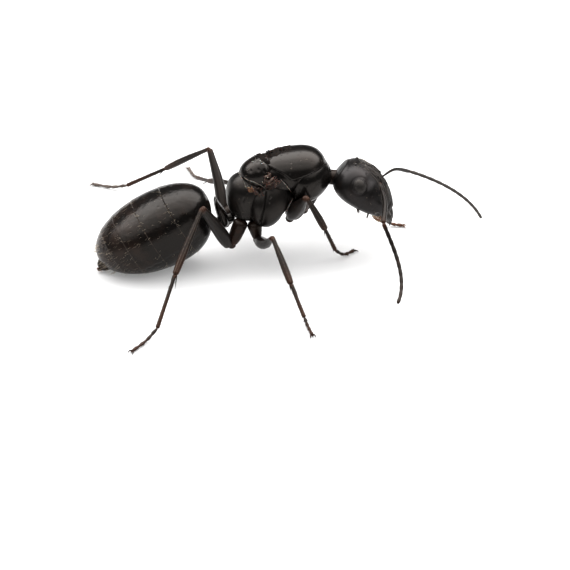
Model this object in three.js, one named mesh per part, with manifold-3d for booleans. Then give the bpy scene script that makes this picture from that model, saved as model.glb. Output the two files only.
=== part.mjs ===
// A wingless carpenter ant queen, standing, at life size.
// Millimetres, +X forward, +Y to the ant's left, +Z up, with the floor at Z = 0.
// Body plates are egg-like shells and limbs are tapered tubes. They are laid down in order, and each one
// is cut back by a thin gap where it meets those laid before it, so neighbours meet without overlap.
import * as THREE from "three";
import { mergeVertices } from "three/addons/utils/BufferGeometryUtils.js";
import Module from "manifold-3d";

const wasm = await Module();
wasm.setup();

// ---------------------------------------------------------------- driving dimensions
const GAP = 0.02; // width of the cut between two neighbouring pieces
const THINNEST = 0.25; // least radius of a leg or feeler
const FOOT_SINK = 0.06; // how far a foot's round underside is cut away to make its flat
const WELD = 1e-5; // points closer than this are one point
const OUTLINE_CENTRE = [1.16, 0.8]; // middle of the whole outline, from the floor below the thorax

// Each plate: place of its middle, turn and pitch and roll in degrees, length along its own axis, then
// for its top, underside and sides the greatest reach, the taper towards the front and how full the
// outline is (2 is an ellipse). Square says how full the plate is seen along its axis.
const HEAD = {
  at: [4.8, -0.57, 3.63], turn: -24, pitch: -38, roll: -10, length: 3.64,
  top: [1.22, -0.2, 2.3], low: [0.96, -0.31, 2.3], side: [1.6, -0.15, 2.5], square: 2.3,
};
const MESOSCUTUM = {
  at: [0.88, 0, 4.82], pitch: 2, length: 3.95,
  top: [1.39, 0.08, 2.7], low: [1, 0, 2.2], side: [1.5, 0.04, 2.4], square: 2.2,
};
const SCUTELLUM = {
  at: [-0.86, 0, 4.95], pitch: 21, length: 2.1,
  top: [0.94, 0.14, 2.7], low: [0.8, 0, 2.2], side: [1, 0.1, 2.4], square: 2.2,
};
const MESOPLEURA = {
  at: [-0.16, 0, 3.46], pitch: 28, length: 2.9,
  top: [1.5, 0, 2.4], low: [0.92, -0.58, 2.44], side: [1.5, -0.28, 2.6], square: 2.2,
};
const PRONOTUM = {
  at: [1.8, 0, 4.5], pitch: 8, length: 2.65,
  top: [1.28, -0.12, 2.3], low: [1.22, -0.32, 2], side: [1.5, -0.22, 2.15], square: 2.2,
};
const PROPODEUM = {
  at: [-1.54, 0, 3.6], pitch: 6, length: 2.15,
  top: [1.45, 0, 2.4], low: [1.25, 0.05, 2.3], side: [1.2, 0.12, 2.4], square: 2.3,
};
const PETIOLE = {
  at: [-3.02, 0, 2.88], pitch: 103, length: 1.88,
  top: [0.2, 0, 2.2], low: [0.31, -0.84, 2], side: [0.6, -0.1, 2.4], square: 2.2,
};
const GASTER = {
  at: [-6.7, 0, 2.41], pitch: 29, length: 6.67,
  top: [1.59, -0.03, 2.15], low: [2.32, 0.25, 2.26], side: [2.12, -0.03, 2.1], square: 2.15,
};
const STALK = { path: [[-2.2, 0, 2.52], [-2.7, 0, 2.42], [-3.5, 0, 2.15]], radii: [0.27, 0.27] };
const GASTER_RINGS = [0.3, 0.545, 0.74, 0.88]; // where the gaster is parted, as shares from the waist

// Parts of the head, placed in its own frame: forward to the mouth, left, and out of the face.
// An eye is a low dome: tilt turns it from the face to the side, and spin turns it in its own plane.
const EYE = { at: [-0.55, 1.45, 0.49], radii: [0.41, 0.355, 0.22], tilt: 65, spin: 34 };
const OCELLI = { at: [-1, 0, 1.05], spread: 0.5, back: 0.33, radius: 0.12 };
const CLYPEUS = { at: [1.2, 0, 0.26], radii: [0.54, 0.76, 0.42] };
const MOUTHPARTS = { at: [1.42, 0, -0.42], radii: [0.62, 0.55, 0.32] };
const MANDIBLE = {
  base: [1.4, 0.7, -0.16], bend: [1.96, 0.58, -0.3], tip: [2.2, 0.08, -0.36],
  radii: [0.34, 0.3, 0.16],
};
const FEELER_SOCKET = [0.32, 0.46, 1.0];

const NECK = { from: [2.7, 0, 4.42], to: [3.65, -0.13, 4.26], radius: 0.46 };
const WING_STUMP = { at: [-0.7, 1.26, 4.66], pitch: 8, radii: [0.76, 0.3, 0.3] };

// Headings in degrees: turn is 0 straight out to the side and grows forward, lift grows upward.
// A feeler has a scape, bowed by its middle's offset, and a funiculus whose heading swings evenly
// between two.
const FEELERS = {
  right: {
    scape: [3.25, -10, -13], bow: [0.2, 0, 0.06], funiculus: 4.8,
    from: [38, -60], to: [-30, -20],
  },
  left: {
    scape: [3.24, 46, -17], bow: [-0.05, 0, 0.32], funiculus: 5.3,
    from: [118, -12], to: [76, -60],
  },
};
const FUNICULUS_JOINTS = { base: 4, middle: 4, tip: 3 };

// Each leg: its hip, then length, turn and lift of the coxa, femur, tibia, metatarsus and tarsus. Seat
// moves the start of the femur off the end of the coxa, and bow moves the middle of the femur.
const LEGS = {
  front_right: {
    girth: 1.12, hip: [1.3, -0.7, 3.48], coxa: [1.26, -104, -62], femur: [2.89, 15, 48],
    tibia: [2.59, 111, -62], metatarsus: [1.58, 108, -66], tarsus: [1.73, 127, -23],
  },
  front_left: {
    girth: 1.12, hip: [1.2, 0.7, 3.4], coxa: [1.7, 59, -62], femur: [3, 35, 23],
    tibia: [2.55, 119, -36], metatarsus: [1.58, 117, -37], tarsus: [1.32, 109, -23],
  },
  middle_right: {
    girth: 0.95, hip: [-1.3, -0.74, 2.54], coxa: [1.2, 90, -80], femur: [3.38, 4, 29],
    tibia: [2.96, 10, -30], metatarsus: [1.95, 15, -39], tarsus: [1.5, 3, -7],
    bow: [0, 0, -0.3],
  },
  middle_left: {
    girth: 0.95, hip: [-0.69, 0.7, 2.52], coxa: [1.2, -18, -62], femur: [3.22, -10, 14],
    tibia: [3.28, -16, -22], metatarsus: [1.96, -11, -20], tarsus: [1.74, -6, -8],
    bow: [0, 0, -0.2],
  },
  hind_right: {
    girth: 1, hip: [-1.91, -0.68, 2.67], coxa: [1.61, -93, -68], femur: [4.44, -44, 51],
    tibia: [4.14, -35, -32], metatarsus: [3.03, -35, -41], tarsus: [2.09, -48, -10],
    seat: [-0.15, 0, 0],
  },
  hind_left: {
    girth: 1, hip: [-2.25, 0.75, 2.6], coxa: [1.37, -16, -61], femur: [4.33, -5, 45],
    tibia: [4.15, -36, -35], metatarsus: [3, -52, -33], tarsus: [2.15, -55, -9],
    bow: [0.09, 0, 0.05],
  },
};
// Radii along each length, before the leg's own girth.
const SLENDER = { tibia: [0.25, 0.27], metatarsus: [0.25, 0.25], tarsus: [0.25, 0.25] };
const LEG_RADII = {
  front: { coxa: [0.32, 0.46, 0.28], femur: [0.25, 0.36, 0.37, 0.28, 0.25], ...SLENDER },
  middle: { coxa: [0.46, 0.36, 0.25], femur: [0.25, 0.35, 0.36, 0.28, 0.25], ...SLENDER },
  hind: { coxa: [0.45, 0.38, 0.25], femur: [0.26, 0.34, 0.32, 0.26, 0.25], ...SLENDER },
};

// ---------------------------------------------------------------- finishes
const finish = (color, roughness) => new THREE.MeshStandardMaterial({ color, roughness, metalness: 0 });
const SHELL = finish("#191715", 0.3);
const LEG = finish("#2a1b13", 0.4);
const FOOT = finish("#4d2b1c", 0.5);
const EYE_GLOSS = finish("#2c2b2b", 0.25);
const MEMBRANE = finish("#7c4a2c", 0.6);

// ---------------------------------------------------------------- solids
const rad = THREE.MathUtils.degToRad;
const vector = (p) => new THREE.Vector3(...p);

// A closed surface from rings of points between two end points.
function closedFromRings(rear, rings, front) {
  const around = rings[0].length;
  const points = [rear, ...rings.flat(), front];
  const faces = [];
  const at = (ring, k) => 1 + ring * around + (k % around);
  for (let k = 0; k < around; k += 1) {
    faces.push(0, at(0, k + 1), at(0, k));
    for (let ring = 0; ring + 1 < rings.length; ring += 1) {
      faces.push(at(ring, k), at(ring, k + 1), at(ring + 1, k));
      faces.push(at(ring, k + 1), at(ring + 1, k + 1), at(ring + 1, k));
    }
    faces.push(at(rings.length - 1, k), at(rings.length - 1, k + 1), points.length - 1);
  }
  const geometry = new THREE.BufferGeometry().setFromPoints(points);
  geometry.setIndex(faces);
  return geometry;
}

// Makes the library's solid from a three.js geometry.
function solid(geometry) {
  geometry.deleteAttribute("normal");
  geometry.deleteAttribute("uv");
  const merged = mergeVertices(geometry, WELD);
  const vertProperties = Float32Array.from(merged.attributes.position.array);
  const triVerts = Uint32Array.from(merged.index.array);
  return new wasm.Manifold(new wasm.Mesh({ numProp: 3, vertProperties, triVerts }));
}

// Stands a plate's own frame in the ant's.
function frameOf({ at, turn = 0, pitch = 0, roll = 0 }) {
  const turned = new THREE.Euler(rad(roll), -rad(pitch), rad(turn), "ZYX");
  return new THREE.Matrix4().makeRotationFromEuler(turned).setPosition(...at);
}

// An egg-like shell plate, grown all round by an allowance.
function plate(spec, rings = 10, around = 16) {
  return (grown = 0) => {
    const half = spec.length / 2 + grown;
    const reach = ([size, taper, full], t) =>
      (size + grown) * (1 - Math.abs(t) ** full) ** (1 / full) * (1 + taper * t);
    const swing = (v) => Math.sign(v) * Math.abs(v) ** (2 / spec.square);
    const ring = (t) => Array.from({ length: around }, (_, k) => {
      const angle = (2 * Math.PI * k) / around;
      const rise = Math.sin(angle) > 0 ? spec.top : spec.low;
      return new THREE.Vector3(half * t, reach(spec.side, t) * swing(Math.cos(angle)),
        reach(rise, t) * swing(Math.sin(angle)));
    });
    const stations = Array.from({ length: rings - 1 }, (_, k) => -Math.cos((Math.PI * (k + 1)) / rings));
    const ends = [-half, half].map((x) => new THREE.Vector3(x, 0, 0));
    return solid(closedFromRings(ends[0], stations.map(ring), ends[1]).applyMatrix4(frameOf(spec)));
  };
}

// A rounded lump with three radii, in a frame of its own.
function lump(radii, frame, around = 8) {
  return (grown = 0) => solid(new THREE.SphereGeometry(1, around, around / 2)
    .scale(...radii.map((r) => r + grown)).applyMatrix4(frame));
}

// A tube along a smooth path with a rounded end at each side.
function limb(path, radii, steps = 2, around = 7) {
  return (grown = 0) => {
    const curve = path.length > 2 ? new THREE.CatmullRomCurve3(path) : new THREE.LineCurve3(...path);
    const radiusAt = (t) => {
      const place = t * (radii.length - 1);
      const low = Math.min(Math.floor(place), radii.length - 2);
      return THREE.MathUtils.lerp(radii[low], radii[low + 1], place - low) + grown;
    };
    const side = new THREE.Vector3(0, 0, 1).cross(curve.getTangent(0)).normalize();
    const ring = (t, shift, radius) => {
      const along = curve.getTangent(t).normalize();
      const across = side.clone().addScaledVector(along, -side.dot(along)).normalize();
      const over = along.clone().cross(across);
      const middle = curve.getPoint(t).addScaledVector(along, shift);
      return Array.from({ length: around }, (_, k) => {
        const angle = (2 * Math.PI * k) / around;
        return middle.clone().addScaledVector(across, radius * Math.cos(angle))
          .addScaledVector(over, radius * Math.sin(angle));
      });
    };
    const shoulder = Math.SQRT1_2;
    const rows = [];
    for (let k = 0; k <= steps; k += 1) rows.push([k / steps, 0, radiusAt(k / steps)]);
    rows.push([1, radiusAt(1) * shoulder, radiusAt(1) * shoulder]);
    const end = (t, sign) => {
      const along = curve.getTangent(t).normalize();
      return curve.getPoint(t).addScaledVector(along, sign * radiusAt(t));
    };
    return solid(closedFromRings(end(0, -1), rows.map((row) => ring(...row)), end(1, 1)));
  };
}

// The point reached from a start by a length, a turn and a lift, on one side of the body.
function reachFrom(start, [length, turn, lift], side) {
  const flat = length * Math.cos(rad(lift));
  return start.clone().add(new THREE.Vector3(flat * Math.sin(rad(turn)),
    side * flat * Math.cos(rad(turn)), length * Math.sin(rad(lift))));
}

// ---------------------------------------------------------------- laying down the pieces
const group = new THREE.Group();
group.position.set(-OUTLINE_CENTRE[0], -OUTLINE_CENTRE[1], 0);
const laid = [];

function overlaps(a, b) {
  return a.min.every((low, k) => low < b.max[k] && b.min[k] < a.max[k]);
}

// Cuts a piece back from those already laid, drops any sliver that this frees, and adds the rest.
function lay(name, make, material, trim = (body) => body) {
  let body = trim(make());
  for (const other of laid) {
    if (overlaps(body.boundingBox(), other.box)) body = body.subtract(other.grown);
  }
  body = body.decompose().reduce((most, piece) => (piece.volume() > most.volume() ? piece : most));
  const grown = trim(make(GAP));
  laid.push({ grown, box: grown.boundingBox() });
  const { vertProperties, triVerts, numProp } = body.getMesh();
  const points = [];
  for (let k = 0; k < vertProperties.length; k += numProp) points.push(...vertProperties.slice(k, k + 3));
  const geometry = new THREE.BufferGeometry();
  geometry.setAttribute("position", new THREE.Float32BufferAttribute(points, 3));
  geometry.setIndex(Array.from(triVerts));
  geometry.computeVertexNormals();
  const mesh = new THREE.Mesh(geometry, material);
  mesh.name = name;
  group.add(mesh);
}

const SIDES = { right: -1, left: 1 };
const onSide = ([x, y, z], side) => [x, y * side, z];

// ---------------------------------------------------------------- head
const headFrame = frameOf(HEAD);
const inHead = (point) => vector(point).applyMatrix4(headFrame);
const onHead = (place) => headFrame.clone().multiply(frameOf(place));

for (const [side, sign] of Object.entries(SIDES)) {
  const tilted = onHead({ at: onSide(EYE.at, sign), roll: -sign * EYE.tilt });
  const spun = tilted.multiply(frameOf({ at: [0, 0, 0], turn: sign * EYE.spin }));
  lay(`eye_${side}`, lump(EYE.radii, spun, 10), EYE_GLOSS);
}
lay("clypeus", lump(CLYPEUS.radii, onHead(CLYPEUS), 9), SHELL);
const headShell = plate(HEAD, 11, 16);
const ocelli = [[0, 0], [-1, 1], [-1, -1]].map(([back, out]) => {
  const at = [OCELLI.at[0] + back * OCELLI.back, out * OCELLI.spread, OCELLI.at[2]];
  return lump(Array(3).fill(OCELLI.radius), onHead({ at }), 6);
});
const headAndOcelli = (grown = 0) =>
  ocelli.reduce((body, ocellus) => body.add(ocellus(grown)), headShell(grown));
lay("head", headAndOcelli, SHELL);
for (const [side, sign] of Object.entries(SIDES)) {
  const path = [MANDIBLE.base, MANDIBLE.bend, MANDIBLE.tip].map((p) => inHead(onSide(p, sign)));
  lay(`mandible_${side}`, limb(path, MANDIBLE.radii), SHELL);
}
lay("mouthparts", lump(MOUTHPARTS.radii, onHead(MOUTHPARTS), 10), MEMBRANE);

// ---------------------------------------------------------------- trunk
lay("mesoscutum", plate(MESOSCUTUM), SHELL);
lay("scutellum", plate(SCUTELLUM, 9, 14), SHELL);
const mesopleura = plate(MESOPLEURA);
for (const [side, sign] of Object.entries(SIDES)) {
  const half = (body) => body.trimByPlane([0, sign, 0], GAP / 2);
  lay(`mesopleuron_${side}`, mesopleura, SHELL, half);
}
lay("pronotum", plate(PRONOTUM, 9, 14), SHELL);
lay("propodeum", plate(PROPODEUM, 9, 14), SHELL);
lay("neck", limb([NECK.from, NECK.to].map(vector), [NECK.radius, NECK.radius], 1), MEMBRANE);
for (const [side, sign] of Object.entries(SIDES)) {
  const place = frameOf({ ...WING_STUMP, at: onSide(WING_STUMP.at, sign) });
  lay(`wing_stump_${side}`, lump(WING_STUMP.radii, place), MEMBRANE);
}
const scale = plate(PETIOLE, 7, 9);
const stalk = limb(STALK.path.map(vector), STALK.radii, 2, 6);
lay("petiole", (grown = 0) => scale(grown).add(stalk(grown)), SHELL);

// ---------------------------------------------------------------- gaster, parted at its rings
const gaster = plate(GASTER, 16, 18);
const gasterAxis = new THREE.Vector3(1, 0, 0).transformDirection(frameOf(GASTER));
const cutPlaces = GASTER_RINGS.map((share) => {
  const middle = vector(GASTER.at).addScaledVector(gasterAxis, GASTER.length * (0.5 - share));
  return middle.dot(gasterAxis);
});
for (let k = 0; k <= cutPlaces.length; k += 1) {
  const between = (body) => {
    let part = body;
    if (k > 0) part = part.trimByPlane(gasterAxis.clone().negate().toArray(), GAP / 2 - cutPlaces[k - 1]);
    if (k < cutPlaces.length) part = part.trimByPlane(gasterAxis.toArray(), cutPlaces[k] + GAP / 2);
    return part;
  };
  lay(`gaster_${k + 1}`, gaster, SHELL, between);
}

// ---------------------------------------------------------------- legs
const LENGTHS = { coxa: SHELL, femur: SHELL, tibia: LEG, metatarsus: LEG, tarsus: FOOT };
const LEG_STEPS = { coxa: 2, femur: 3, tibia: 1, metatarsus: 1, tarsus: 2 };
const TARSUS_DROP = { along: 0.45, down: 0.8 }; // how far down the tarsus is at what share of its length
const onFloor = (body) => body.trimByPlane([0, 0, 1], 0);
for (const [name, leg] of Object.entries(LEGS)) {
  const side = Math.sign(leg.hip[1]);
  let start = vector(leg.hip);
  for (const [length, material] of Object.entries(LENGTHS)) {
    const radii = LEG_RADII[name.split("_")[0]][length].map((r) => Math.max(r * leg.girth, THINNEST));
    let end = reachFrom(start, leg[length], side);
    let path = [start, end];
    if (length === "femur") {
      const seat = start.clone().add(vector(leg.seat ?? [0, 0, 0]));
      path = [seat, seat.clone().lerp(end, 0.5).add(vector(leg.bow ?? [0, 0, 0])), end];
    }
    if (length === "tarsus") {
      end = start.clone().lerp(end, 1 - THINNEST / leg.tarsus[0]).setZ(THINNEST - FOOT_SINK);
      const low = THREE.MathUtils.lerp(start.z, end.z, TARSUS_DROP.down);
      const middle = start.clone().lerp(end, TARSUS_DROP.along).setZ(low);
      path = [start, middle, end];
    }
    lay(`${length}_${name}`, limb(path, radii, LEG_STEPS[length]), material, onFloor);
    start = end;
  }
}

// ---------------------------------------------------------------- feelers
for (const [side, sign] of Object.entries(SIDES)) {
  const { scape, bow, funiculus, from, to } = FEELERS[side];
  const socket = inHead(onSide(FEELER_SOCKET, sign));
  const elbow = reachFrom(socket, scape, sign);
  const middle = socket.clone().lerp(elbow, 0.5).add(vector(bow));
  lay(`scape_${side}`, limb([socket, middle, elbow], [THINNEST, THINNEST], 3), LEG);
  const count = Object.values(FUNICULUS_JOINTS).reduce((a, b) => a + b);
  const knots = [elbow];
  for (let k = 0; k < count; k += 1) {
    const share = k / (count - 1);
    const heading = from.map((angle, n) => THREE.MathUtils.lerp(angle, to[n], share));
    knots.push(reachFrom(knots[k], [(funiculus - THINNEST) / count, ...heading], sign));
  }
  let first = 0;
  for (const [stretch, joints] of Object.entries(FUNICULUS_JOINTS)) {
    const path = knots.slice(first, first + joints + 1);
    lay(`funiculus_${stretch}_${side}`, limb(path, [THINNEST, THINNEST]), LEG, onFloor);
    first += joints;
  }
}

export default group;
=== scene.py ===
import bpy
import numpy as np
from mathutils import Matrix, Vector


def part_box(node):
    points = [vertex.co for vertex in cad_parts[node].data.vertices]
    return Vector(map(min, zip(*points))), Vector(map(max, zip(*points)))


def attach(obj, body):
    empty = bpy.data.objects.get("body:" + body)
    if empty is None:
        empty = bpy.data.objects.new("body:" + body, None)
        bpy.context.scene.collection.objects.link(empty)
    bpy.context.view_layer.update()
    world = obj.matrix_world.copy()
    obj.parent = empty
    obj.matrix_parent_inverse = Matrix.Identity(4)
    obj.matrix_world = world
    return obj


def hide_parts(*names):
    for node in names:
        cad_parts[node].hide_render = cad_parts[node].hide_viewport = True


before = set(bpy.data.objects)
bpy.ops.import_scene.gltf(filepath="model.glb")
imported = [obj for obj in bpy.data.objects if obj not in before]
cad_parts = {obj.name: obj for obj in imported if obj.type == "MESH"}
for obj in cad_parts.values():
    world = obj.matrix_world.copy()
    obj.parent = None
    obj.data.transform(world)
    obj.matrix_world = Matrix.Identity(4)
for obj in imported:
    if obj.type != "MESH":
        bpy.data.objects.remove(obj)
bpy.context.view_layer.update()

bl_info = {
    "name": "Carpenter Ant Queen",
    "version": (1, 0, 0),
    "blender": (4, 5, 0),
    "location": "3D View > Sidebar > Ant Queen",
    "description": "Builds a life-size wingless carpenter ant queen, plate by plate, on a pale floor",
    "category": "Add Mesh",
}

MM = 0.001  # the row frame is in metres, and the sizes below are in millimetres
SIDES = {"right": -1, "left": 1}

# --- sizes of the ant
# Each plate: the place of its middle, turn, pitch and roll in degrees, its length along its own axis,
# then for its top, underside and sides the greatest reach, the taper towards the front and how full
# the outline is (2 is an ellipse). Square says how full the plate is seen along its axis.
HEAD = dict(at=(4.8, -0.57, 3.63), turn=-24, pitch=-38, roll=-10, length=3.64,
            top=(1.22, -0.2, 2.3), low=(0.96, -0.31, 2.3), side=(1.6, -0.15, 2.5), square=2.3)
MESOSCUTUM = dict(at=(0.88, 0, 4.82), pitch=2, length=3.95,
                  top=(1.39, 0.08, 2.7), low=(1.0, 0, 2.2), side=(1.5, 0.04, 2.4), square=2.2)
SCUTELLUM = dict(at=(-0.86, 0, 4.95), pitch=21, length=2.1,
                 top=(0.94, 0.14, 2.7), low=(0.8, 0, 2.2), side=(1.0, 0.1, 2.4), square=2.2)
METANOTUM = dict(at=(-1.5, 0, 4.44), pitch=40, length=0.62,
                 top=(0.5, 0, 2.2), low=(0.6, 0, 2.2), side=(1.08, 0, 2.6), square=2.2)
MESOPLEURA = dict(at=(-0.16, 0, 3.46), pitch=28, length=2.9,
                  top=(1.5, 0, 2.4), low=(0.92, -0.58, 2.44), side=(1.5, -0.28, 2.6), square=2.2)
PRONOTUM = dict(at=(1.8, 0, 4.5), pitch=8, length=2.65,
                top=(1.28, -0.12, 2.3), low=(1.22, -0.32, 2.0), side=(1.5, -0.22, 2.15), square=2.2)
PROPODEUM = dict(at=(-1.54, 0, 3.6), pitch=6, length=2.15,
                 top=(1.45, 0, 2.4), low=(1.25, 0.05, 2.3), side=(1.2, 0.12, 2.4), square=2.3)
PETIOLE = dict(at=(-3.02, 0, 2.88), pitch=103, length=1.88,
               top=(0.2, 0, 2.2), low=(0.31, -0.84, 2.0), side=(0.6, -0.1, 2.4), square=2.2)
GASTER = dict(at=(-6.7, 0, 2.41), pitch=29, length=6.67,
              top=(1.59, -0.03, 2.15), low=(2.49, 0.25, 2.26), side=(2.12, -0.03, 2.1), square=2.15)
GASTER_RINGS = (0.0, 0.3, 0.545, 0.74, 0.88, 1.0)

# Parts of the head, placed in its own frame: forward to the mouth, left, and out of the face.
EYE = dict(at=(-0.55, 1.45, 0.49), radii=(0.41, 0.36, 0.27), tilt=65, spin=34)
OCELLI = dict(at=-1.0, spread=0.5, back=0.33, radius=0.1)
CLYPEUS = dict(at=(1.22, 0, 0.22), length=1.06, top=(0.38, -0.1, 2.2), low=(0.42, 0, 2.2),
               side=(0.74, -0.1, 2.6), square=2.2)
FEELER_SOCKET = (0.32, 0.46, 1.0)
NECK = dict(start=(2.6, 0, 4.42), end=(3.75, -0.14, 4.25), radius=0.5)

# Headings: turn is 0 straight out to the side and grows forward, lift grows upward, in degrees.
FEELERS = {
    "right": dict(girth=1, beads=1.26, scape=(3.25, -10, -13), bow=(0.2, 0, 0.06),
                  funiculus=4.8, start=(38, -60), end=(-30, -20)),
    "left": dict(girth=0.72, beads=1.08, scape=(3.24, 46, -17), bow=(-0.05, 0, 0.32),
                 funiculus=5.3, start=(118, -12), end=(76, -60)),
}
FUNICULUS_JOINTS = 11
LEGS = {
    "front_right": dict(girth=1.12, hip=(1.3, -0.7, 3.48), coxa=(1.26, -104, -62),
        femur=(2.89, 15, 48), tibia=(2.59, 111, -62), metatarsus=(1.58, 108, -66),
        tarsus=(1.73, 127, -23)),
    "front_left": dict(girth=1.12, hip=(1.2, 0.7, 3.4), coxa=(1.7, 59, -62),
        femur=(3.0, 35, 23), tibia=(2.55, 119, -36), metatarsus=(1.58, 117, -37),
        tarsus=(1.32, 109, -23)),
    "middle_right": dict(girth=0.95, hip=(-1.3, -0.74, 2.54), coxa=(1.2, 90, -80),
        femur=(3.38, 4, 29), tibia=(2.96, 10, -30), metatarsus=(1.95, 15, -39),
        tarsus=(1.5, 3, -7), bow=(0, 0, -0.3)),
    "middle_left": dict(girth=0.95, hip=(-0.69, 0.7, 2.52), coxa=(1.2, -18, -62),
        femur=(3.22, -10, 14), tibia=(3.28, -16, -22), metatarsus=(1.96, -11, -20),
        tarsus=(1.74, -6, -8), bow=(0, 0, -0.2)),
    "hind_right": dict(girth=1.0, hip=(-1.91, -0.68, 2.67), coxa=(1.61, -93, -68),
        femur=(4.44, -44, 51), tibia=(4.14, -35, -32), metatarsus=(3.03, -35, -41),
        tarsus=(2.09, -48, -10), seat=(-0.15, 0, 0)),
    "hind_left": dict(girth=1.0, hip=(-2.25, 0.75, 2.6), coxa=(1.37, -16, -61),
        femur=(4.33, -5, 45), tibia=(4.15, -36, -35), metatarsus=(3.0, -52, -33),
        tarsus=(2.15, -55, -9), bow=(0.09, 0, 0.05)),
}
# Radii at even steps along each length of a leg or feeler, and of the joints in a foot and a feeler.
COXA_RADII = {
    "front": (0.3, 0.42, 0.46, 0.4, 0.26),
    "middle": (0.46, 0.43, 0.36, 0.29, 0.2),
    "hind": (0.45, 0.4, 0.38, 0.34, 0.22),
}
FEMUR_RADII = {
    "front": (0.16, 0.33, 0.38, 0.36, 0.28, 0.2, 0.17),
    "middle": (0.2, 0.34, 0.38, 0.33, 0.25, 0.18, 0.16),
    "hind": (0.24, 0.31, 0.315, 0.29, 0.25, 0.2, 0.155),
}
FEMUR_FLATNESS = {"front": 0.86, "middle": 0.86, "hind": 1.2}
TIBIA_RADII = (0.13, 0.13, 0.16, 0.18, 0.195, 0.19, 0.16)
METATARSUS_RADII = (0.09, 0.095, 0.1, 0.11)
TIBIA_FLATNESS = 0.88
TARSUS_BEAD = (0.062, 0.078, 0.092)
SCAPE_RADII = (0.13, 0.075, 0.09, 0.1, 0.11, 0.12, 0.13, 0.14, 0.145, 0.12)
BEAD_RADII = (0.078, 0.087, 0.089)
# Heights over the floor: of a toe's middle, of a claw's tip, and the least of the gaster's tip.
TOE_HEIGHT, CLAW_HEIGHT, LEAST_HEIGHT = 0.1, 0.015, 0.03
FULL_TURN = 2 * np.pi


def colour_property(name, description, default):
    return bpy.props.FloatVectorProperty(name=name, description=description, default=default,
                                         subtype="COLOR", size=3, min=0, max=1)


def length_property(name, description, default, highest):
    """A length kept in metres, with its default and its highest value given in millimetres."""
    return bpy.props.FloatProperty(name=name, description=description, default=default * MM, min=0,
                                   max=highest * MM, precision=6, subtype="DISTANCE", unit="LENGTH")


class AntColours(bpy.types.PropertyGroup):
    """Colours of the ant's finishes and of the floor."""
    shell: colour_property("Shell", "Glossy plates of the body", (0.0056, 0.005, 0.0046))
    shell_brown: colour_property("Shell, brown", "Where the plates are thin", (0.016, 0.0095, 0.007))
    margin: colour_property("Plate margin", "Pale rear margin of the gaster's rings", (0.06, 0.047, 0.036))
    leg: colour_property("Leg", "Dark shell of the legs and feelers", (0.011, 0.0085, 0.0075))
    foot: colour_property("Foot", "Reddish brown of shins, feet and joints", (0.05, 0.021, 0.012))
    membrane: colour_property("Membrane", "Torn skin of the wing roots", (0.12, 0.078, 0.064))
    mouth: colour_property("Mouthparts", "Amber mouthparts", (0.56, 0.45, 0.35))
    eye: colour_property("Eye", "Compound eyes", (0.014, 0.013, 0.013))
    hair: colour_property("Hair", "Golden hair of the body", (0.46, 0.39, 0.3))
    bristle: colour_property("Bristle", "Dark bristles of the legs and head", (0.04, 0.023, 0.016))
    floor: colour_property("Floor", "Plain pale floor", (0.48, 0.48, 0.48))


class AntSizes(bpy.types.PropertyGroup):
    """Small sizes of the ant's details."""
    lip: length_property("Ring lip", "How far a gaster ring's edge stands over the next ring", 0.014, 0.2)
    carina: length_property("Face ridge", "Height of the ridges beside the feeler sockets", 0.07, 0.3)
    groove: length_property("Plate groove", "Depth of the seams in the trunk's plates", 0.06, 0.3)
    hair_length: length_property("Hair length", "Length of the gaster's standing hairs", 0.36, 2)
    bristle_length: length_property("Bristle length", "Length of the bristles on shins and feet", 0.2, 1)
    hair_radius: length_property("Hair radius", "Radius of a hair at its root", 0.008, 0.05)


def size(name):
    """One of the sizes in AntSizes, in millimetres."""
    return getattr(bpy.context.scene.ant_sizes, name) / MM


# --- shader writing
COLOUR_A, COLOUR_B, COLOUR_RESULT = 6, 7, 2  # places of the colour sockets on a Mix node
WARM_GLOSS = (0.94, 0.85, 0.78, 1)
# Colours laid over a shell in places: dust, the worn rear of the gaster, and rows of pale hair.
DUST = (0.12, 0.105, 0.085)
WORN_REAR = (0.034, 0.021, 0.016)
PALE_ROW = (0.13, 0.1, 0.08)
# Waves over a piece's whole length or girth, in radians.
RING_WAVES, STRIA_WAVES, ROW_WAVES = 260.0, 430.0, 50.3
TOP_OF_PLATE = 0.25  # share of the way round a plate at which its top lies


class Socket:
    """A shader output. Arithmetic on it adds Math nodes."""

    def __init__(self, shader, output):
        self.shader = shader
        self.output = output

    def _math(self, operation, *values):
        return self.shader.node("ShaderNodeMath", {"operation": operation}, dict(enumerate(values)))

    def __add__(self, other):
        return self._math("ADD", self, other)

    def __radd__(self, other):
        return self._math("ADD", other, self)

    def __sub__(self, other):
        return self._math("SUBTRACT", self, other)

    def __rsub__(self, other):
        return self._math("SUBTRACT", other, self)

    def __mul__(self, other):
        return self._math("MULTIPLY", self, other)

    def __rmul__(self, other):
        return self._math("MULTIPLY", other, self)

    def sine(self):
        return self._math("SINE", self)

    def rise(self, low, high):
        """0 below low, 1 above high, and smooth between."""
        return self.shader.node("ShaderNodeMapRange", {"interpolation_type": "SMOOTHSTEP"},
                                {"Value": self, "From Min": low, "From Max": high})


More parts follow.
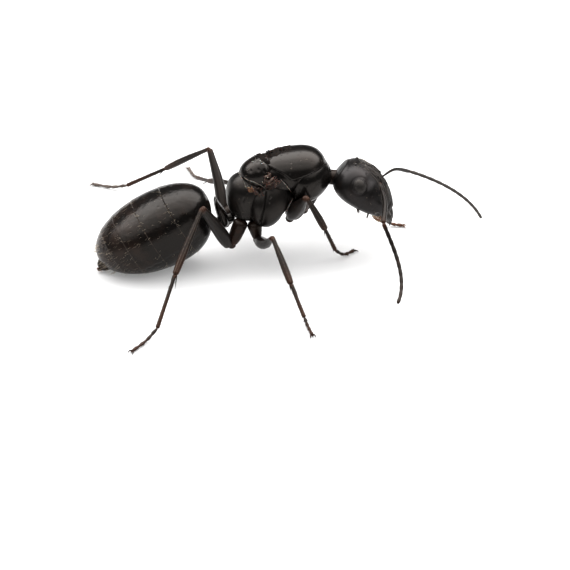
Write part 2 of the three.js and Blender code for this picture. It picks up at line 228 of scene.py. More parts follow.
class Shader:
    """The nodes of a material or of the world, under construction."""

    def __init__(self, owner):
        self.owner = owner
        owner.use_nodes = True
        self.tree = owner.node_tree
        self.tree.nodes.clear()

    def node(self, kind, settings, inputs, output=0):
        """Adds a node with its settings, fills its sockets with values or links, returns an output."""
        made = self.tree.nodes.new(kind)
        for key, value in settings.items():
            setattr(made, key, value)
        for key, value in inputs.items():
            if isinstance(value, Socket):
                self.tree.links.new(value.output, made.inputs[key])
            else:
                made.inputs[key].default_value = value
        return Socket(self, made.outputs[output]) if len(made.outputs) else None

    def place(self):
        """Where a point is on the ant, in millimetres."""
        metres = self.node("ShaderNodeTexCoord", {}, {}, "Object")
        return self.node("ShaderNodeVectorMath", {"operation": "SCALE"}, {0: metres, "Scale": 1 / MM})

    def lay(self, stretch=(1, 1, 1)):
        """Where a point is round and along its piece, stretched."""
        chart = self.node("ShaderNodeUVMap", {"uv_map": "Lay"}, {})
        return self.node("ShaderNodeVectorMath", {"operation": "MULTIPLY"}, {0: chart, 1: stretch})

    def part(self, vector, axis):
        return self.node("ShaderNodeSeparateXYZ", {}, {0: vector}, axis)

    def along(self):
        """Share of the way along the piece."""
        return self.part(self.lay(), "Y")

    def around(self):
        """Share of the way round the piece."""
        return self.part(self.lay(), "X")

    def noise(self, vector, scale, detail=2.0, roughness=0.5):
        return self.node("ShaderNodeTexNoise", {}, {
            "Vector": vector, "Scale": scale, "Detail": detail, "Roughness": roughness})

    def cells(self, vector, scale):
        """Distance to the middle of the nearest of many uneven cells."""
        return self.node("ShaderNodeTexVoronoi", {}, {"Vector": vector, "Scale": scale}, "Distance")

    def mix(self, factor, first, second):
        inputs = {0: factor, COLOUR_A: as_colour(first), COLOUR_B: as_colour(second)}
        return self.node("ShaderNodeMix", {"data_type": "RGBA"}, inputs, COLOUR_RESULT)

    def finish(self, colour, roughness, height, **constants):
        """Ends the material: colour, roughness, and height in millimetres over the surface."""
        normal = self.node("ShaderNodeBump", {}, {"Height": height, "Strength": 1.0, "Distance": MM},
                           "Normal")
        sockets = {"Base Color": as_colour(colour), "Roughness": roughness, "Normal": normal,
                   "Specular Tint": WARM_GLOSS}
        sockets.update({key.replace("_", " "): value for key, value in constants.items()})
        surface = self.node("ShaderNodeBsdfPrincipled", {}, sockets)
        self.node("ShaderNodeOutputMaterial", {}, {"Surface": surface})
        return self.owner


def as_colour(value):
    return value if isinstance(value, Socket) else (*value, 1)


def material_shader(name):
    return Shader(bpy.data.materials.new(name))


def shell_finish(name, colour, brown, waves=0.012, gloss=0.2, lines=0.0, margin=None, pits=3.1, striae=0.0,
                 ior=1.45, sheen=(0.94, 0.86, 0.8)):
    """Glossy shell with a fine net of cells, punctures, waves, scratches and flecks of dust.

    Lines run round a plate and striae along it, each given by its height. A margin is a pale rear edge.
    """
    shader = material_shader(name)
    place = shader.place()
    net = shader.cells(place, 30)
    undulation = shader.noise(place, 1.1, 2)
    ripple = shader.noise(place, 3.2, 3, 0.6)
    punctures = 1 - shader.cells(place, pits).rise(0.04, 0.18)
    grain = shader.noise(place, 13, 2)
    scratch = shader.noise(shader.lay((9, 46, 1)), 3.0, 4, 0.7).rise(0.62, 0.78)
    flecks = shader.noise(place, 23, 3, 0.6).rise(0.76, 0.84)
    height = net * 0.001 + undulation * waves + (ripple * 0.3 + grain * 0.05) * waves - punctures * 0.012
    tone = shader.mix(undulation.rise(0.45, 0.8) * 0.6, colour, brown)
    tone = shader.mix(flecks * 0.2, tone, DUST)
    roughness = gloss + undulation * 0.06 + scratch * 0.1 + flecks * 0.3
    if lines:
        height = height + (shader.along() * RING_WAVES).sine() * lines
    if striae:
        around, along = shader.around(), shader.along()
        aside = (around - TOP_OF_PLATE) * (around - TOP_OF_PLATE) - along.rise(0.55, 0.95) * 0.04
        reach = along.rise(0.14, 0.26) * (1 - along.rise(0.93, 0.99)) * (1 - aside.rise(0.0015, 0.0045))
        height = height + (around * STRIA_WAVES + ripple * 3.0).sine() * reach * striae
        matt = (1 - aside.rise(0.005, 0.015)) * along.rise(0.3, 0.45)
        roughness = roughness + matt * 0.25
    if margin:
        broken = shader.noise(place, 2.2, 3).rise(0.25, 0.55)
        edge = shader.along().rise(0.982, 0.99)
        tone = shader.mix(edge * broken, tone, margin)
        rear = 1 - shader.noise(place, 1.5, 3) * 2.0 - shader.part(place, "X").rise(-10.5, -5.5)
        tone = shader.mix(rear.rise(-0.6, 0.4) * 0.6, tone, WORN_REAR)
    return shader.finish(tone, roughness, height, IOR=ior, Specular_Tint=(*sheen, 1))


def leg_finish(name, colour, tip, grain=0.004, gloss=0.25, redden=(0.72, 1.0), share=0.75, base=1.0,
               rows=0.0, ior=1.34):
    """Less glossy shell with lengthwise grain, reddening at its base and towards its end.

    Redden says between which shares of the length the end reddens, rows how strong rows of pale hair are.
    """
    shader = material_shader(name)
    streaks = shader.noise(shader.lay((14, 5, 1)), 2.0, 3, 0.6)
    place = shader.place()
    blotch = shader.noise(place, 2.6, 2)
    height = streaks * grain + shader.cells(place, 26) * 0.0025
    tone = shader.mix(shader.along().rise(*redden) * share, colour, tip)
    tone = shader.mix((1 - shader.along().rise(0.0, 0.09)) * base, tone, tip)
    tone = shader.mix(blotch.rise(0.55, 0.8) * 0.4, tone, tip)
    if rows:
        dots = shader.noise(shader.lay((6, 70, 1)), 1.0, 2).rise(0.42, 0.56)
        stripes = (shader.around() * ROW_WAVES).sine().rise(0.6, 0.95)
        tone = shader.mix(stripes * dots * rows, tone, PALE_ROW)
    return shader.finish(tone, gloss + streaks * 0.14, height, IOR=ior)


def soft_finish(name, dark, light, gloss=0.42, ior=1.45):
    """Uneven, slightly see-through skin: torn membrane, mouthparts and joint skin."""
    shader = material_shader(name)
    place = shader.place()
    blotch = shader.noise(place, 5, 4, 0.65)
    fibres = shader.noise(place, 24, 3, 0.6)
    tone = shader.mix(blotch.rise(0.35, 0.68), dark, light)
    return shader.finish(tone, gloss + fibres * 0.25, fibres * 0.012 + blotch * 0.02,
                         IOR=ior, Subsurface_Weight=0.25, Subsurface_Scale=0.15 * MM)


def eye_finish(name, dark, light):
    """Compound eye: fine round facets under a soft gloss."""
    shader = material_shader(name)
    place = shader.place()
    facets = shader.cells(place, 34)
    dome = 1 - facets.rise(0.0, 0.6)
    tone = shader.mix(shader.noise(place, 3, 2).rise(0.3, 0.7), dark, light)
    return shader.finish(tone, 0.2 + facets * 0.25, dome * 0.004, IOR=1.44)


def hair_finish(name, colour):
    """A hair, lighter and darker from one to the next."""
    shader = material_shader(name)
    shade = shader.noise(shader.place(), 4, 2)
    tone = shader.mix(shade, [c * 0.6 for c in colour], [min(1, c * 1.35) for c in colour])
    return shader.finish(tone, 0.35 + shade * 0.1, shade * 0.001, IOR=1.5)


DARK, LIMB = ("shell", "shell_brown"), ("leg", "foot")
# Each finish: its maker, its material's name, its colours (each a name in AntColours or a colour of its
# own), and what else its maker is told.
FINISHES = {
    "shell": (shell_finish, "black_shell", DARK, {}),
    "side": (shell_finish, "side_shell", DARK, dict(gloss=0.3, lines=0.0015, pits=5.0)),
    "head shell": (shell_finish, "head_shell", DARK,
                   dict(waves=0.006, gloss=0.32, pits=2.2, striae=0.012, sheen=(0.88, 0.82, 0.82))),
    "gaster": (shell_finish, "gaster_shell", DARK,
               dict(waves=0.05, gloss=0.19, lines=0.0006, margin="margin", pits=1.6, ior=1.37)),
    "face": (shell_finish, "face_shell", DARK, dict(lines=0.004, gloss=0.3)),
    "lens": (shell_finish, "small_eye_lens", ("eye", "shell_brown"), dict(waves=0.002, gloss=0.1)),
    # The face ridges are coloured far paler than the shell: a painted highlight along them.
    "crest": (leg_finish, "crest_painted_highlight", ((0.058, 0.051, 0.045), (0.11, 0.096, 0.083)), dict(base=0.0)),
    "coxa": (leg_finish, "coxa_shell", ("shell_brown", "foot"),
             dict(redden=(0.5, 1.0), share=0.7, base=0.2)),
    "femur": (leg_finish, "femur_shell", LIMB, dict(redden=(0.9, 1.0))),
    "tibia": (leg_finish, "tibia_shell", LIMB,
              dict(redden=(0.5, 1.0), share=0.6, gloss=0.3, rows=0.6, ior=1.27)),
    "foot": (leg_finish, "foot_shell", LIMB, dict(redden=(0.0, 0.9), share=0.8)),
    # Far feet: paler, greyer copies of the reddish brown foot colour, painted light standing in for the
    # bright white floor blurred over them.
    "pale foot": (leg_finish, "far_foot_painted_pale", ("foot", (0.17, 0.09, 0.06)), dict(redden=(0.0, 0.6))),
    "grey foot": (leg_finish, "far_foot_painted_grey", ((0.09, 0.072, 0.062), (0.15, 0.125, 0.11)),
                  dict(redden=(0.0, 0.5))),
    "feeler": (leg_finish, "feeler_shell", LIMB, dict(redden=(0.5, 1.6), share=0.6)),
    "pale feeler": (leg_finish, "pale_feeler_shell", ((0.055, 0.05, 0.046), (0.075, 0.068, 0.062)),
                    dict(redden=(0.0, 1.0))),
    "membrane": (soft_finish, "torn_membrane", ((0.013, 0.008, 0.007), "membrane"), {}),
    "crust": (soft_finish, "dried_skin", ((0.003, 0.002, 0.002), (0.011, 0.007, 0.005)),
              dict(gloss=0.6, ior=1.27)),
    # Thin edges: pale partly by their own skin, partly by a painted highlight along them.
    "edge": (soft_finish, "skin_edge_pale_and_painted_highlight", ((0.06, 0.052, 0.046), (0.24, 0.22, 0.2)), {}),
    "tan": (soft_finish, "tan_skin", ((0.05, 0.026, 0.016), (0.24, 0.14, 0.08)), {}),
    "tip": (soft_finish, "tip_skin", ((0.07, 0.048, 0.036), (0.3, 0.22, 0.17)), {}),
    "flake": (soft_finish, "pale_flake", ((0.3, 0.26, 0.22), (0.75, 0.7, 0.62)), {}),
    "mouth": (soft_finish, "mouthparts", ((0.2, 0.12, 0.08), "mouth"), {}),
    "joint": (soft_finish, "joint_skin", ((0.01, 0.006, 0.005), (0.035, 0.016, 0.01)), dict(gloss=0.34)),
    "eye": (eye_finish, "compound_eye", ("eye", (0.024, 0.022, 0.021)), {}),
    "hair": (hair_finish, "golden_hair", ("hair",), {}),
    "bristle": (hair_finish, "dark_bristle", ("bristle",), {}),
}
MADE = {}


def finish_for(kind):
    """A finish, made when it is first asked for."""
    if kind not in MADE:
        colours = bpy.context.scene.ant_colours
        own = lambda value: getattr(colours, value) if isinstance(value, str) else value
        maker, name, tones, settings = FINISHES[kind]
        MADE[kind] = maker(name, *map(own, tones), **{key: own(value) for key, value in settings.items()})
    return MADE[kind]


# --- shapes
GAP = 1e-3  # small step in a share or an angle, for directions


def rotation(turn=0.0, pitch=0.0, roll=0.0):
    z, y, x = (np.radians(a) for a in (turn, -pitch, roll))
    about_z = np.array([[np.cos(z), -np.sin(z), 0], [np.sin(z), np.cos(z), 0], [0, 0, 1]])
    about_y = np.array([[np.cos(y), 0, np.sin(y)], [0, 1, 0], [-np.sin(y), 0, np.cos(y)]])
    about_x = np.array([[1, 0, 0], [0, np.cos(x), -np.sin(x)], [0, np.sin(x), np.cos(x)]])
    return about_z @ about_y @ about_x


def unit(vectors):
    return vectors / (np.linalg.norm(vectors, axis=-1, keepdims=True) + 1e-12)


def mound(distance, width):
    """A soft hump, 1 at no distance."""
    return np.exp(-(distance / width) ** 2)


def step(distance, width):
    """0 where distance is negative, 1 where positive, smooth over a width."""
    return 0.5 + 0.5 * np.tanh(distance / width)


def window(value, low, high, width):
    """1 between low and high, 0 outside."""
    return step(value - low, width) * step(high - value, width)


def ruffle(x, y, z, scale, waves=16):
    """Uneven heights, mostly between -1 and 1, over places in a plate's frame."""
    rng = np.random.default_rng(3)
    total = 0 * (x + y + z)
    for _ in range(waves):
        (a, b, c), phase = rng.normal(0, scale, 3), rng.uniform(0, FULL_TURN)
        total = total + np.sin(a * x + b * y + c * z + phase)
    return total / waves ** 0.5


def from_line(x, y, start, end):
    """Distance to a straight piece of line, in a plane."""
    (x0, y0), (x1, y1) = start, end
    dx, dy = x1 - x0, y1 - y0
    share = np.clip(((x - x0) * dx + (y - y0) * dy) / (dx * dx + dy * dy), 0, 1)
    return np.hypot(x - x0 - share * dx, y - y0 - share * dy)


def from_lines(x, y, points):
    """Distance to a bent line, in a plane."""
    return np.min([from_line(x, y, a, b) for a, b in zip(points, points[1:])], axis=0)


class Form:
    """Points in the ant's frame, faces, and for each face's corners a place on the piece's chart."""

    def __init__(self, points, faces, chart):
        self.points, self.faces, self.chart = points, faces, chart

    def __add__(self, other):
        shift = len(self.points)
        moved = [tuple(k + shift for k in face) for face in other.faces]
        return Form(np.vstack([self.points, other.points]), self.faces + moved, self.chart + other.chart)

    def flipped(self, points):
        """Other points with the same faces, each turned over."""
        return Form(points, [face[::-1] for face in self.faces], [corners[::-1] for corners in self.chart])

    def for_side(self, side):
        """A form made for the left side: itself, or its mirror image for the right side."""
        return self if side > 0 else self.flipped(self.points * [1, -1, 1])


def joined(forms):
    """One form of several."""
    whole, *others = forms
    for form in others:
        whole = whole + form
    return whole


def turns(count):
    """Angles at even steps all the way round."""
    return np.arange(count) * FULL_TURN / count


def closed_form(rear, rings, front, shares):
    """A closed form from rings of points between two end points."""
    rows, around = rings.shape[:2]
    points = np.vstack([[rear], rings.reshape(-1, 3), [front]])
    at = lambda row, k: 1 + row * around + k % around
    faces, chart = [], []
    for k in range(around):
        u, w = k / around, (k + 1) / around
        faces.append((0, at(0, k + 1), at(0, k)))
        chart.append(((u, 0.0), (w, shares[0]), (u, shares[0])))
        for row in range(rows - 1):
            faces.append((at(row, k), at(row, k + 1), at(row + 1, k + 1), at(row + 1, k)))
            low, high = shares[row], shares[row + 1]
            chart.append(((u, low), (w, low), (w, high), (u, high)))
        faces.append((at(rows - 1, k), at(rows - 1, k + 1), len(points) - 1))
        chart.append(((u, shares[-1]), (w, shares[-1]), (w, 1.0)))
    form = Form(points, faces, chart)
    first = np.array([face[:3] for face in faces])
    a, b, c = (points[first[:, n]] - points.mean(0) for n in range(3))
    inside_out = np.einsum("ij,ij->", a, np.cross(b, c)) < 0
    return form.flipped(points) if inside_out else form


class Egg:
    """An egg-like plate with relief on it."""

    def __init__(self, spec, relief=None):
        self.spec, self.relief = spec, relief
        self.turned = rotation(spec.get("turn", 0), spec.get("pitch", 0), spec.get("roll", 0))
        self.at = np.array(spec["at"], float)

    def smooth(self, t, angle):
        """Points of the plain plate in its own frame."""
        spec = self.spec
        t, angle = np.broadcast_arrays(np.asarray(t, float), angle)
        reach = lambda size, taper, full: (
            size * np.maximum(1 - np.abs(t) ** full, 0) ** (1 / full) * (1 + taper * t))
        swing = lambda v: np.sign(v) * np.abs(v) ** (2 / spec["square"])
        rise = np.where(np.sin(angle) > 0, reach(*spec["top"]), reach(*spec["low"]))
        return np.stack([spec["length"] / 2 * t, reach(*spec["side"]) * swing(np.cos(angle)),
                         rise * swing(np.sin(angle))], -1)

    def over(self, x, y):
        """Height of the plain plate over a place, in its own frame."""
        t = 2 * x / self.spec["length"]
        wide = np.abs(self.smooth(t, 0.0)[1])
        square = self.spec["square"]
        return self.smooth(t, np.pi / 2)[2] * (1 - (abs(y) / wide) ** square) ** (1 / square)

    def outward(self, t, angle):
        """Directions straight out of the plain plate, in its own frame."""
        inner = np.clip(t, -1 + 4 * GAP, 1 - 4 * GAP)
        along = self.smooth(inner + GAP, angle) - self.smooth(inner - GAP, angle)
        over = self.smooth(inner, angle + GAP) - self.smooth(inner, angle - GAP)
        return unit(np.cross(over, along))

    def at_points(self, t, angle):
        """Points of the finished plate in the ant's frame."""
        local = self.smooth(t, angle)
        if self.relief:
            lift = self.relief(*np.moveaxis(local, -1, 0))
            local = local + self.outward(t, angle) * lift[..., None]
        return self.in_ant(local)

    def in_ant(self, local):
        return np.asarray(local) @ self.turned.T + self.at

    def form(self, rings, around, span=(-1, 1), offset=None):
        """The plate between two shares of its length, or all of it, with an offset over its skin."""
        low, high = (np.arccos(-end) for end in span)
        places = -np.cos(np.linspace(low, high, rings + 1))
        closed = [abs(end) == 1 for end in span]
        kept = places[1 if closed[0] else 0: -1 if closed[1] else None]
        t, turn = kept[:, None], turns(around)[None, :]
        rows = self.at_points(t, turn)
        if offset is not None:
            rows = rows + (self.outward(t, turn) * offset(t, turn)[..., None]) @ self.turned.T
        ends = [self.in_ant([self.spec["length"] / 2 * end, 0, 0]) for end in span]
        shares = (kept - span[0]) / (span[1] - span[0])
        return closed_form(ends[0], rows, ends[1], shares)


def spline(values, shares):
    """Smooth values through even steps."""
    values = np.asarray(values, float)
    padded = np.concatenate([[2 * values[0] - values[1]], values, [2 * values[-1] - values[-2]]])
    place = np.clip(np.asarray(shares) * (len(values) - 1), 0, len(values) - 1 - 1e-9)
    low = place.astype(int)
    t = place - low
    if values.ndim > 1:
        t = t[:, None]
    a, b, c, d = (padded[low + n] for n in range(4))
    return 0.5 * (2 * b + (c - a) * t + (2 * a - 5 * b + 4 * c - d) * t ** 2
                  + (3 * b - a - 3 * c + d) * t ** 3)


class Tube:
    """A limb along a smooth path, with radii at even steps and round ends."""
    STEPS = 97  # places along the path at which its length is measured
    # Length of a round end against its radius, and its greatest share of the limb.
    ROUNDING, MOST = 0.8, 0.4

    def __init__(self, path, radii, flat=1.0, relief=None):
        self.path, self.radii = np.array(path, float), np.array(radii, float)
        self.flat, self.relief = flat, relief
        fine = spline(self.path, np.linspace(0, 1, self.STEPS))
        length = np.linalg.norm(np.diff(fine, axis=0), axis=1).sum()
        self.start_round, self.end_round = (
            min(self.MOST, self.ROUNDING * radius / length) for radius in self.radii[[0, -1]])

    def frames(self, shares):
        """Middle, and directions along, across and over the limb, at shares of its length."""
        shares = np.asarray(shares, float)
        middle = spline(self.path, shares)
        ahead, behind = np.minimum(shares + GAP, 1), np.maximum(shares - GAP, 0)
        along = unit(spline(self.path, ahead) - spline(self.path, behind))
        side = np.cross([0.0, 0.0, 1.0], along[0])
        across = unit(side - along * (along @ side)[:, None])
        return middle, along, across, np.cross(along, across)

    def at_points(self, shares, angle):
        shares, angle = np.asarray(shares, float), np.asarray(angle, float)
        middle, along, across, over = self.frames(shares)
        radius = spline(self.radii, shares)
        start = np.clip(1 - shares / self.start_round, 0, 1)
        end = np.clip(1 - (1 - shares) / self.end_round, 0, 1)
        radius = radius * np.sqrt(1 - start ** 2) * np.sqrt(1 - end ** 2)
        lift = self.relief(shares[:, None], angle) if self.relief else 0
        reach = radius[:, None] * (1 + lift) + np.zeros_like(angle)
        return (middle[:, None] + across[:, None] * (reach * np.cos(angle))[..., None]
                + over[:, None] * (reach * self.flat * np.sin(angle))[..., None])

    def form(self, rows=40, around=20, cap=5):
        bend = 1 - np.cos(np.linspace(0, np.pi / 2, cap + 1)[1:])
        shares = np.concatenate([
            self.start_round * bend, np.linspace(self.start_round, 1 - self.end_round, rows)[1:-1],
            1 - self.end_round * bend[::-1]])
        angle = np.tile(turns(around), (len(shares), 1))
        rings = self.at_points(shares, angle)
        ends = self.frames([0.0, 1.0])[0]
        return closed_form(ends[0], rings, ends[1], shares)


def reach_from(start, heading, side):
    """The point reached from a start by a length, a turn and a lift, on one side of the body."""
    length, turn, lift = heading[0], np.radians(heading[1]), np.radians(heading[2])
    flat = length * np.cos(lift)
    return np.array(start, float) + [flat * np.sin(turn), side * flat * np.cos(turn), length * np.sin(lift)]


def frame_shift():
    """How far the ant's own frame lies from the row's: the dome of the trunk is found in both."""
    dome = Egg(MESOSCUTUM)
    stations = -np.cos(np.pi * np.arange(1, 10) / 10)
    rings = dome.at_points(stations[:, None], np.arange(16)[None, :] * np.pi / 8).reshape(-1, 3)
    ends = dome.in_ant([[-MESOSCUTUM["length"] / 2, 0, 0], [MESOSCUTUM["length"] / 2, 0, 0]])
    points = np.vstack([rings, ends])
    low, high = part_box("mesoscutum")
    middle = (np.array(low) + np.array(high)) / 2 / MM
    shift = middle - (points.min(0) + points.max(0)) / 2
    return np.array([shift[0], shift[1], 0.0])


SHIFT = frame_shift()


def in_row(points):
    """Places in the ant's own frame, in millimetres, as places in the row's frame, in metres."""
    return (np.asarray(points) + SHIFT) * MM


def piece(name, form, kind, nodes=(), chart_name="Lay"):
    """Makes a form an object with a finish, riding on the body and standing for its CAD nodes."""
    mesh = bpy.data.meshes.new(name)
    mesh.from_pydata(in_row(form.points).tolist(), [], form.faces)
    chart = mesh.uv_layers.new(name=chart_name)
    corners = np.array([corner for face in form.chart for corner in face], np.float32)
    chart.data.foreach_set("uv", corners.ravel())
    mesh.shade_smooth()
    mesh.materials.append(finish_for(kind))
    made = bpy.data.objects.new(name, mesh)
    bpy.context.scene.collection.objects.link(made)
    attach(made, "root")
    if nodes:
        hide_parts(*nodes)


# A hair's rings from root to tip: shares of its length and of its radius.
HAIR_STATIONS = np.array([0.0, 0.3, 0.62, 1.0])
HAIR_WIDTHS = np.array([1.0, 0.85, 0.55, 0.06])
HAIR_SIDES = 4
HAIR_PATCH = 0.003  # side of a hair's patch on its chart
HAIR_CLEARANCE = 0.01  # least height over the floor; hairs that reach lower are left out


def hairs(roots, headings, bends, lengths, radius, places):
    """Tapered hairs joined in one form, each a small patch on the chart at its root's place."""
    headings = unit(headings)
    along = HAIR_STATIONS[None, :, None] * lengths[:, None, None]
    middle = (roots[:, None] + headings[:, None] * along
              + bends[:, None] * (along * HAIR_STATIONS[None, :, None]))
    across = unit(np.cross(headings, [0.31, 0.17, 0.93]))
    over = np.cross(headings, across)
    angle = turns(HAIR_SIDES)
    ring = (across[:, None, None] * np.cos(angle)[None, None, :, None]
            + over[:, None, None] * np.sin(angle)[None, None, :, None])
    points = middle[:, :, None] + ring * (radius * HAIR_WIDTHS)[None, :, None, None]
    clear = points[..., 2].min((1, 2)) > HAIR_CLEARANCE
    points, places = points[clear], places[clear]
    last = len(HAIR_STATIONS) - 1
    faces, chart = [], []
    for n, (u, w) in enumerate(places):
        at = lambda row, k: (n * (last + 1) + row) * HAIR_SIDES + k % HAIR_SIDES
        spot = lambda row, k: (u + HAIR_PATCH * k / HAIR_SIDES, w + HAIR_PATCH * HAIR_STATIONS[row])
        faces.append(tuple(at(0, k) for k in reversed(range(HAIR_SIDES))))
        chart.append(((u, w),) * HAIR_SIDES)
        for row in range(last):
            for k in range(HAIR_SIDES):
                corners = (row, k), (row, k + 1), (row + 1, k + 1), (row + 1, k)
                faces.append(tuple(at(*corner) for corner in corners))
                chart.append(tuple(spot(*corner) for corner in corners))
        faces.append(tuple(at(last, k) for k in range(HAIR_SIDES)))
        chart.append(((u, w + HAIR_PATCH),) * HAIR_SIDES)
    return Form(points.reshape(-1, 3), faces, chart)


# --- relief of the plates
# Each takes places in its plate's own frame, in millimetres, and says how far the skin stands out there.
def head_relief(x, y, z):
    side = np.abs(y)
    face = step(z, 0.1)
    ridge_line = 0.27 + 0.36 * step(0.02 - x, 0.32)
    ridge = mound(side - ridge_line, 0.05) * window(x, -0.55, 0.72, 0.09) * face
    socket = mound(np.hypot(x - FEELER_SOCKET[0], side - FEELER_SOCKET[1] - 0.05), 0.17) * face
    midline = mound(y, 0.025) * window(x, -0.8, 0.55, 0.1) * face
    eye = np.hypot((x - EYE["at"][0]) / 0.47, (z - EYE["at"][2]) / 0.44) + (side < 0.9) * 9
    rim = mound(eye - 1, 0.07)
    collar = mound(x + 1.68, 0.05)
    throat = mound(y, 0.04) * step(-z, 0.1)
    jaw = mound(x - 1.5, 0.06) * window(side, 0.35, 1.1, 0.06)
    brow = 0.03 * mound(x - 0.05, 0.25) - 0.04 * window(x, 0.7, 1.6, 0.2)
    fossa = window(side, 0.8, 1.45, 0.17) * window(x, -0.5, 0.95, 0.22) * step(z, 0.25)
    hinge = np.hypot(x - 1.25, z + 0.22) + (side < 0.6) * 9
    return (size("carina") * ridge + brow * step(z - 0.45, 0.12) - 0.075 * fossa - 0.13 * socket
            + 0.025 * mound(hinge - 0.17, 0.03) - 0.06 * mound(hinge, 0.1) - 0.03 * midline - 0.022 * rim
            + 0.03 * collar - 0.04 * throat - 0.05 * jaw)


def clypeus_relief(x, y, z):
    keel = mound(y, 0.07) * step(z, 0.05) * 0.035
    teeth = 0.02 * np.cos(y * 18) * window(x, 0.42, 0.8, 0.04)
    return keel + teeth


def mesoscutum_relief(x, y, z):
    groove = size("groove")
    side = np.abs(y)
    midline = mound(y, 0.025) * window(x, 0.5, 1.7, 0.1) * step(z, 0.1)
    skirt = np.interp(x, [-1.95, -1.4, -1.23, -1.0, -0.7, -0.48, -0.29, -0.08, 0.3, 1.05, 1.7, 1.95],
                      [1.0, 0.95, 0.91, 0.84, 0.7, 0.53, 0.32, 0.26, 0.36, 0.54, 0.58, 0.5])
    under = step(skirt - z, 0.02)
    pit = mound(np.hypot(x + 1.48, side - 0.34), 0.11) * step(z, 0.2)
    return -0.5 * groove * midline - 0.15 * pit - 0.14 * under + 0.02 * mound(z - skirt - 0.05, 0.04)


def scutellum_relief(x, y, z):
    side = np.abs(y)
    dents = sum(mound(np.hypot(x - at, side - out), 0.065)
                for at, out in ((-0.33, 0.61), (0.07, 0.77), (0.34, 0.9), (0.2, 0.42)))
    front = mound(x - 0.6, 0.08)
    return -0.04 * dents * step(z, 0.1) - 0.06 * front


def mesopleura_relief(x, y, z):
    groove = size("groove")
    seam = from_lines(x, z, [(-0.05, 1.05), (-0.17, 0.9), (-0.42, 0.67), (-0.79, 0.27),
                             (-1.07, -0.13), (-1.2, -0.5)])
    front = np.interp(z, [-1.1, -0.6, -0.15, 0.2, 0.7, 1.0], [-0.4, -0.06, 0.53, 0.9, 1.03, 0.98])
    raised = step(front - x, 0.04) * step(1.16 - z, 0.05)
    pit = mound(from_lines(x, z, [(-0.16, 0.6), (-0.1, 0.74), (0.08, 0.8)]), 0.035)
    middle = mound(y, 0.03)
    outside = step(np.abs(y), 0.1)
    return (0.06 * raised * outside - 1.9 * groove * mound(seam, 0.034) * outside - 0.04 * pit * outside
            - 0.05 * middle)


def pronotum_relief(x, y, z):
    collar = mound(x - 1.08, 0.05) * 0.03
    fold = mound(from_line(x, z, (-0.9, -0.5), (0.3, -0.75)), 0.04) * 0.02
    return collar - fold - 0.03 * mound(z - 0.95, 0.04)


def propodeum_relief(x, y, z):
    groove = size("groove")
    side = np.abs(y)
    seam = from_lines(x, z, [(0.45, 0.9), (0.19, 0.32), (0.02, -0.12), (-0.02, -1.1)])
    spiracle = mound(from_line(x, z, (-0.36, 0.38), (-0.28, 0.56)), 0.03) * (side > 0.5)
    gland = mound(np.hypot(x + 0.55, z + 0.72), 0.22) * (side > 0.4)
    folds = 0.003 * np.sin(38 * (x + 0.25 * z)) * window(z, -0.9, 0.6, 0.2) * step(-0.05 - x, 0.05)
    return -groove * mound(seam, 0.03) * (side > 0.3) - 0.05 * spiracle + 0.07 * gland + folds


def petiole_relief(x, y, z):
    notch = mound(y, 0.16) * step(x - 0.72, 0.05)
    rim = mound(np.abs(y) - 0.52, 0.06)
    return -0.06 * notch + 0.015 * rim


def gaster_relief(x, y, z):
    lateral = z + 1.05
    flat_belly = mound(y, 0.95) * step(-z - 0.8, 0.3)
    return 0.02 * step(lateral, 0.02) - 0.03 * mound(lateral, 0.02) - 0.14 * flat_belly


# --- steps
class AntStep(bpy.types.Operator):
    """One step of building the ant"""
    bl_options = {"REGISTER", "UNDO"}

    def execute(self, context):
        self.build()
        return {"FINISHED"}


HEAD_EGG = Egg(HEAD, head_relief)


def in_head(point, side=1):
    """A place on the left side of the head, or the same one on its right, in the ant's frame."""
    return HEAD_EGG.in_ant((point[0], point[1] * side, point[2]))


def lump(at, radii, turned, rings=20, around=28):
    """A closed ellipsoid with its own directions."""
    v = -np.cos(np.linspace(0, np.pi, rings + 1))[1:-1]
    angle = turns(around)
    wide = np.sqrt(1 - v ** 2)[:, None]
    local = np.stack([wide * np.cos(angle), wide * np.sin(angle), v[:, None] + 0 * angle], -1) * radii
    place = lambda p: np.asarray(p) @ turned.T + np.asarray(at)
    return closed_form(place([0, 0, -radii[2]]), place(local), place([0, 0, radii[2]]), (v + 1) / 2)


def scatter(rng, count, at, spread, low, high):
    """Small ragged lumps about a place."""
    knobs = []
    for _ in range(count):
        place = np.array(at) + rng.uniform(-1, 1, 3) * spread
        knob = lump(place, rng.uniform(low, high, 3), rotation(*rng.uniform(-60, 60, 3)), 8, 10)
        knob.points = knob.points + rng.normal(0, 0.1 * low, knob.points.shape)
        knobs.append(knob)
    return joined(knobs)


